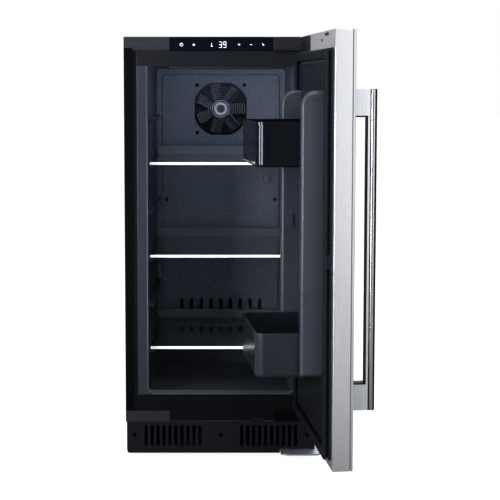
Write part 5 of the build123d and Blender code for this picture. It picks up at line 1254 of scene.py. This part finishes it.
@dataclass
class HingePlate:
    """Black plate over the hinge end of the door frame's top flange, open for the hinge arm.

    The arm's gap is its start across, its bottom and its top. Each slot's back, a black sheet that
    paints shade into the slot, is given by its place across, its height and its length, in
    millimetres.
    """

    inner_face: float = DOOR_INNER_FACE
    ends: Span = (68.0 * MM, 184.0 * MM)
    heights: Span = (794.4 * MM, 822.4 * MM)
    arm_gap: Point = (162.4 * MM, 803.6 * MM, 814.4 * MM)
    sheet: float = 0.8 * MM
    softness: float = 0.3
    sunk: float = 0.2 * MM
    slot_backs: tuple[Point, ...] = ((-56.0, 809.2, 17.0), (-102.0, 818.2, 43.0))
    slot_width: float = 5.6 * MM
    slot_softness: float = 0.2

    def build(self, shop: Workshop) -> None:
        """Lay the plate, and black backs that paint shade into both flange slots, on the door.

        Args:
            shop: The workshop that makes the piece.
        """
        shape = bmesh.new()
        (left, right), (low, high) = self.ends, self.heights
        start, below, above = self.arm_gap
        middle = self.inner_face + self.sheet / 2 - self.sunk
        for x0, x1, z0, z1 in ((left, start, low, high), (start, right, low, below),
                               (start, right, above, high)):
            centre = ((x0 + x1) / 2, middle, (z0 + z1) / 2)
            size = (x1 - x0, self.sheet, z1 - z0)
            Shapes.plate(shape, centre, size, self.sheet * self.softness)
        # Painted shade: black backs behind the flange slots.
        for across, height, length in self.slot_backs:
            centre = (across * MM, self.inner_face - self.sheet, height * MM)
            size = (length * MM, self.sheet, self.slot_width)
            Shapes.plate(shape, centre, size, self.sheet * self.slot_softness)
        shop.door_piece(shape, "door_hinge_plate", "trim_plastic", HINGE_PLATE_FINISH)


@dataclass
class HandleShadeLining:
    """Thin black lining inside the handle's bracket, a dark sheet that stands for the shade and
    dark reflections there: painted shade.
    """

    across: Span = (-171.0 * MM, -151.0 * MM)
    outer_face: float = DOOR_OUTER_FACE
    gap: float = 23.7 * MM
    opening: Span = (231.0 * MM, 682.0 * MM)
    sheet: float = 1.2 * MM
    softness: float = 0.2
    post_sheet: float = 2.6 * MM

    def build(self, shop: Workshop) -> None:
        """Line the strip and both posts of the bracket on the door.

        Args:
            shop: The workshop that makes the piece.
        """
        shape = bmesh.new()
        left, right = self.across
        low, high = self.opening
        middle, wide, edge = (left + right) / 2, right - left, self.sheet * self.softness
        strip = (middle, self.outer_face - self.gap + self.sheet / 2, (low + high) / 2)
        Shapes.plate(shape, strip, (wide, self.sheet, high - low), edge)
        for height in (low + self.post_sheet / 2, high - self.post_sheet / 2):
            post = (middle, self.outer_face - self.gap / 2, height)
            Shapes.plate(shape, post, (wide, self.gap, self.post_sheet), edge)
        shop.door_piece(shape, "handle_shade_lining", "trim_plastic", SHADE_LINING_FINISH)


@dataclass(frozen=True)
class Lamp:
    """One soft rectangular light, by its place, the point it faces, its size and its watts.

    The spread is how wide its beam is, in degrees.
    """

    name: str
    place: Point
    aim: Point
    size: Span
    power: float
    colour: Colour = (0.94, 0.965, 1.0)
    spread: float = 180.0

    def hang(self) -> None:
        """Add the light to the scene."""
        light = bpy.data.lights.new(self.name, "AREA")
        light.shape = "RECTANGLE"
        light.size, light.size_y = self.size
        light.energy = self.power
        light.color = self.colour
        light.spread = math.radians(self.spread)
        made = bpy.data.objects.new(self.name, light)
        made.location = self.place
        way = Vector(self.aim) - Vector(self.place)
        made.rotation_euler = way.to_track_quat("-Z", "Y").to_euler()
        bpy.context.scene.collection.objects.link(made)


DOOR_AIM: Point = (0.1, -0.5, 0.57)
STRIP: Span = (0.26, 0.8)
LAMPS: tuple[Lamp, ...] = (
    Lamp("key_light", (0.25, -2.4, 2.2), (0.1, -0.4, 0.5), (0.9, 0.7), 40.0),
    Lamp("side_light", (-1.15, -1.15, 1.55), (0.1, -0.35, 0.95), (0.7, 0.7), 10.0),
    Lamp("left_strip", (-1.35, -1.18, 0.58), DOOR_AIM, STRIP, 3.4, spread=70.0),
    Lamp("near_strip", (-0.885, -1.76, 0.58), DOOR_AIM, STRIP, 3.4, spread=70.0),
    Lamp("front_card", (1.46, -3.17, 0.80), (0.2, -0.6, 0.55), (0.9, 1.6), 13.0),
    Lamp("top_light", (-0.2, -0.3, 2.4), (0.0, -0.2, 0.4), (1.6, 1.2), 18.0),
    Lamp("right_light", (2.2, 1.0, 1.6), (0.2, -0.4, 0.45), (0.9, 1.8), 18.0),
    Lamp("back_light", (1.0, 2.6, 2.0), (0.0, 0.2, 0.45), (1.8, 1.4), 36.0),
    Lamp("cavity_light", (0.0, -0.222, 0.755), (0.0, 0.14, 0.55), (0.19, 0.012), 0.7,
         colour=(0.74, 0.85, 1.0)),
)


@dataclass(frozen=True)
class DarkSector:
    """Part of the room that is dark to black faces, by the angles where it sets in and ends.

    Angles are radians from -Y, towards +X, and the level is the share of light that is left.
    """

    set_in: Span
    end: Span
    level: float


@dataclass
class Studio:
    """Pale floor, soft lights and the camera."""

    eye: Point = (-0.0017, -2.8503, 0.7310)
    tilt: float = 5.0945
    sensor: float = 36.0
    lens: float = 96.27
    shift: Span = (0.06, -0.09)
    floor_reach: float = 30.0
    room_colour: Colour = (0.92, 0.95, 1.0)
    room_heights: Span = (-0.35, 0.25)
    room_levels: Span = (0.12, 0.6)
    dark_sectors: tuple[DarkSector, ...] = (
        DarkSector((-0.42, -0.16), (0.28, 0.44), 0.06),
        DarkSector((-2.1, -1.9), (-1.2, -1.0), 0.08),
        DarkSector((1.05, 1.2), (1.55, 1.75), 0.35),
    )

    def build(self) -> None:
        """Set up the room, its floor, its lights and the camera."""
        self.room()
        self.floor()
        for lamp in LAMPS:
            lamp.hang()
        self.camera()

    def room(self) -> None:
        """White to the camera, and to everything else soft, dim low down and in some sectors."""
        world = bpy.data.worlds.new("studio")
        world.use_nodes = True
        bpy.context.scene.world = world
        graph = Graph(world.node_tree)
        way = graph.axes(graph.add("TexCoord").outputs["Generated"])
        level = graph.span(way["Z"], self.room_heights, self.room_levels)
        turn = graph.math("ARCTAN2", way["X"], graph.math("MULTIPLY", way["Y"], -1.0))
        for sector in self.dark_sectors:
            rise = graph.span(turn, sector.set_in)
            fall = graph.span(turn, sector.end, (1.0, 0.0))
            share = graph.math("MULTIPLY", rise, fall)
            left = graph.span(share, UNIT, (1.0, sector.level))
            level = graph.math("MULTIPLY", level, left)
        seen = graph.add("LightPath").outputs["Is Camera Ray"]
        shade = graph.mix(seen, graph.mix(level, BLACK, self.room_colour), WHITE)
        background = world.node_tree.nodes["Background"]
        graph.feed(background.inputs["Color"], shade)
        graph.feed(background.inputs["Strength"], 1.0)

    def floor(self) -> None:
        """A large pale floor that belongs to the stage."""
        shape = bmesh.new()
        bmesh.ops.create_grid(shape, x_segments=1, y_segments=1, size=self.floor_reach)
        made = Shapes.placed(shape, "studio_floor")
        made.data.materials.append(FLOOR_FINISH.material("studio_floor"))

    def camera(self) -> None:
        """A long lens, nearly level, with its frame moved down to the cabinet."""
        data = bpy.data.cameras.new("camera")
        data.sensor_width = self.sensor
        data.lens = self.lens
        data.shift_x, data.shift_y = self.shift
        made = bpy.data.objects.new("camera", data)
        made.location = self.eye
        made.rotation_euler = (math.radians(90.0 - self.tilt), 0.0, 0.0)
        bpy.context.scene.collection.objects.link(made)
        bpy.context.scene.camera = made


def main() -> None:
    """Load the frame, dress it, add the modelled trim and light it."""
    logging.basicConfig(level=logging.INFO, format="%(name)s: %(message)s")
    for item in list(bpy.data.objects):
        bpy.data.objects.remove(item)
    shop = Workshop(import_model())
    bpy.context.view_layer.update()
    bpy.context.scene.view_settings.view_transform = "Standard"
    bpy.context.scene.view_settings.gamma = PRINT_GAMMA
    Studio().build()
    shop.dress()
    for part in (TouchPanel(), OpeningBead(), FanBoss(), DoorSeal(), HingePlate(), HandleShadeLining()):
        part.build(shop)


if __name__ == "__main__":
    main()
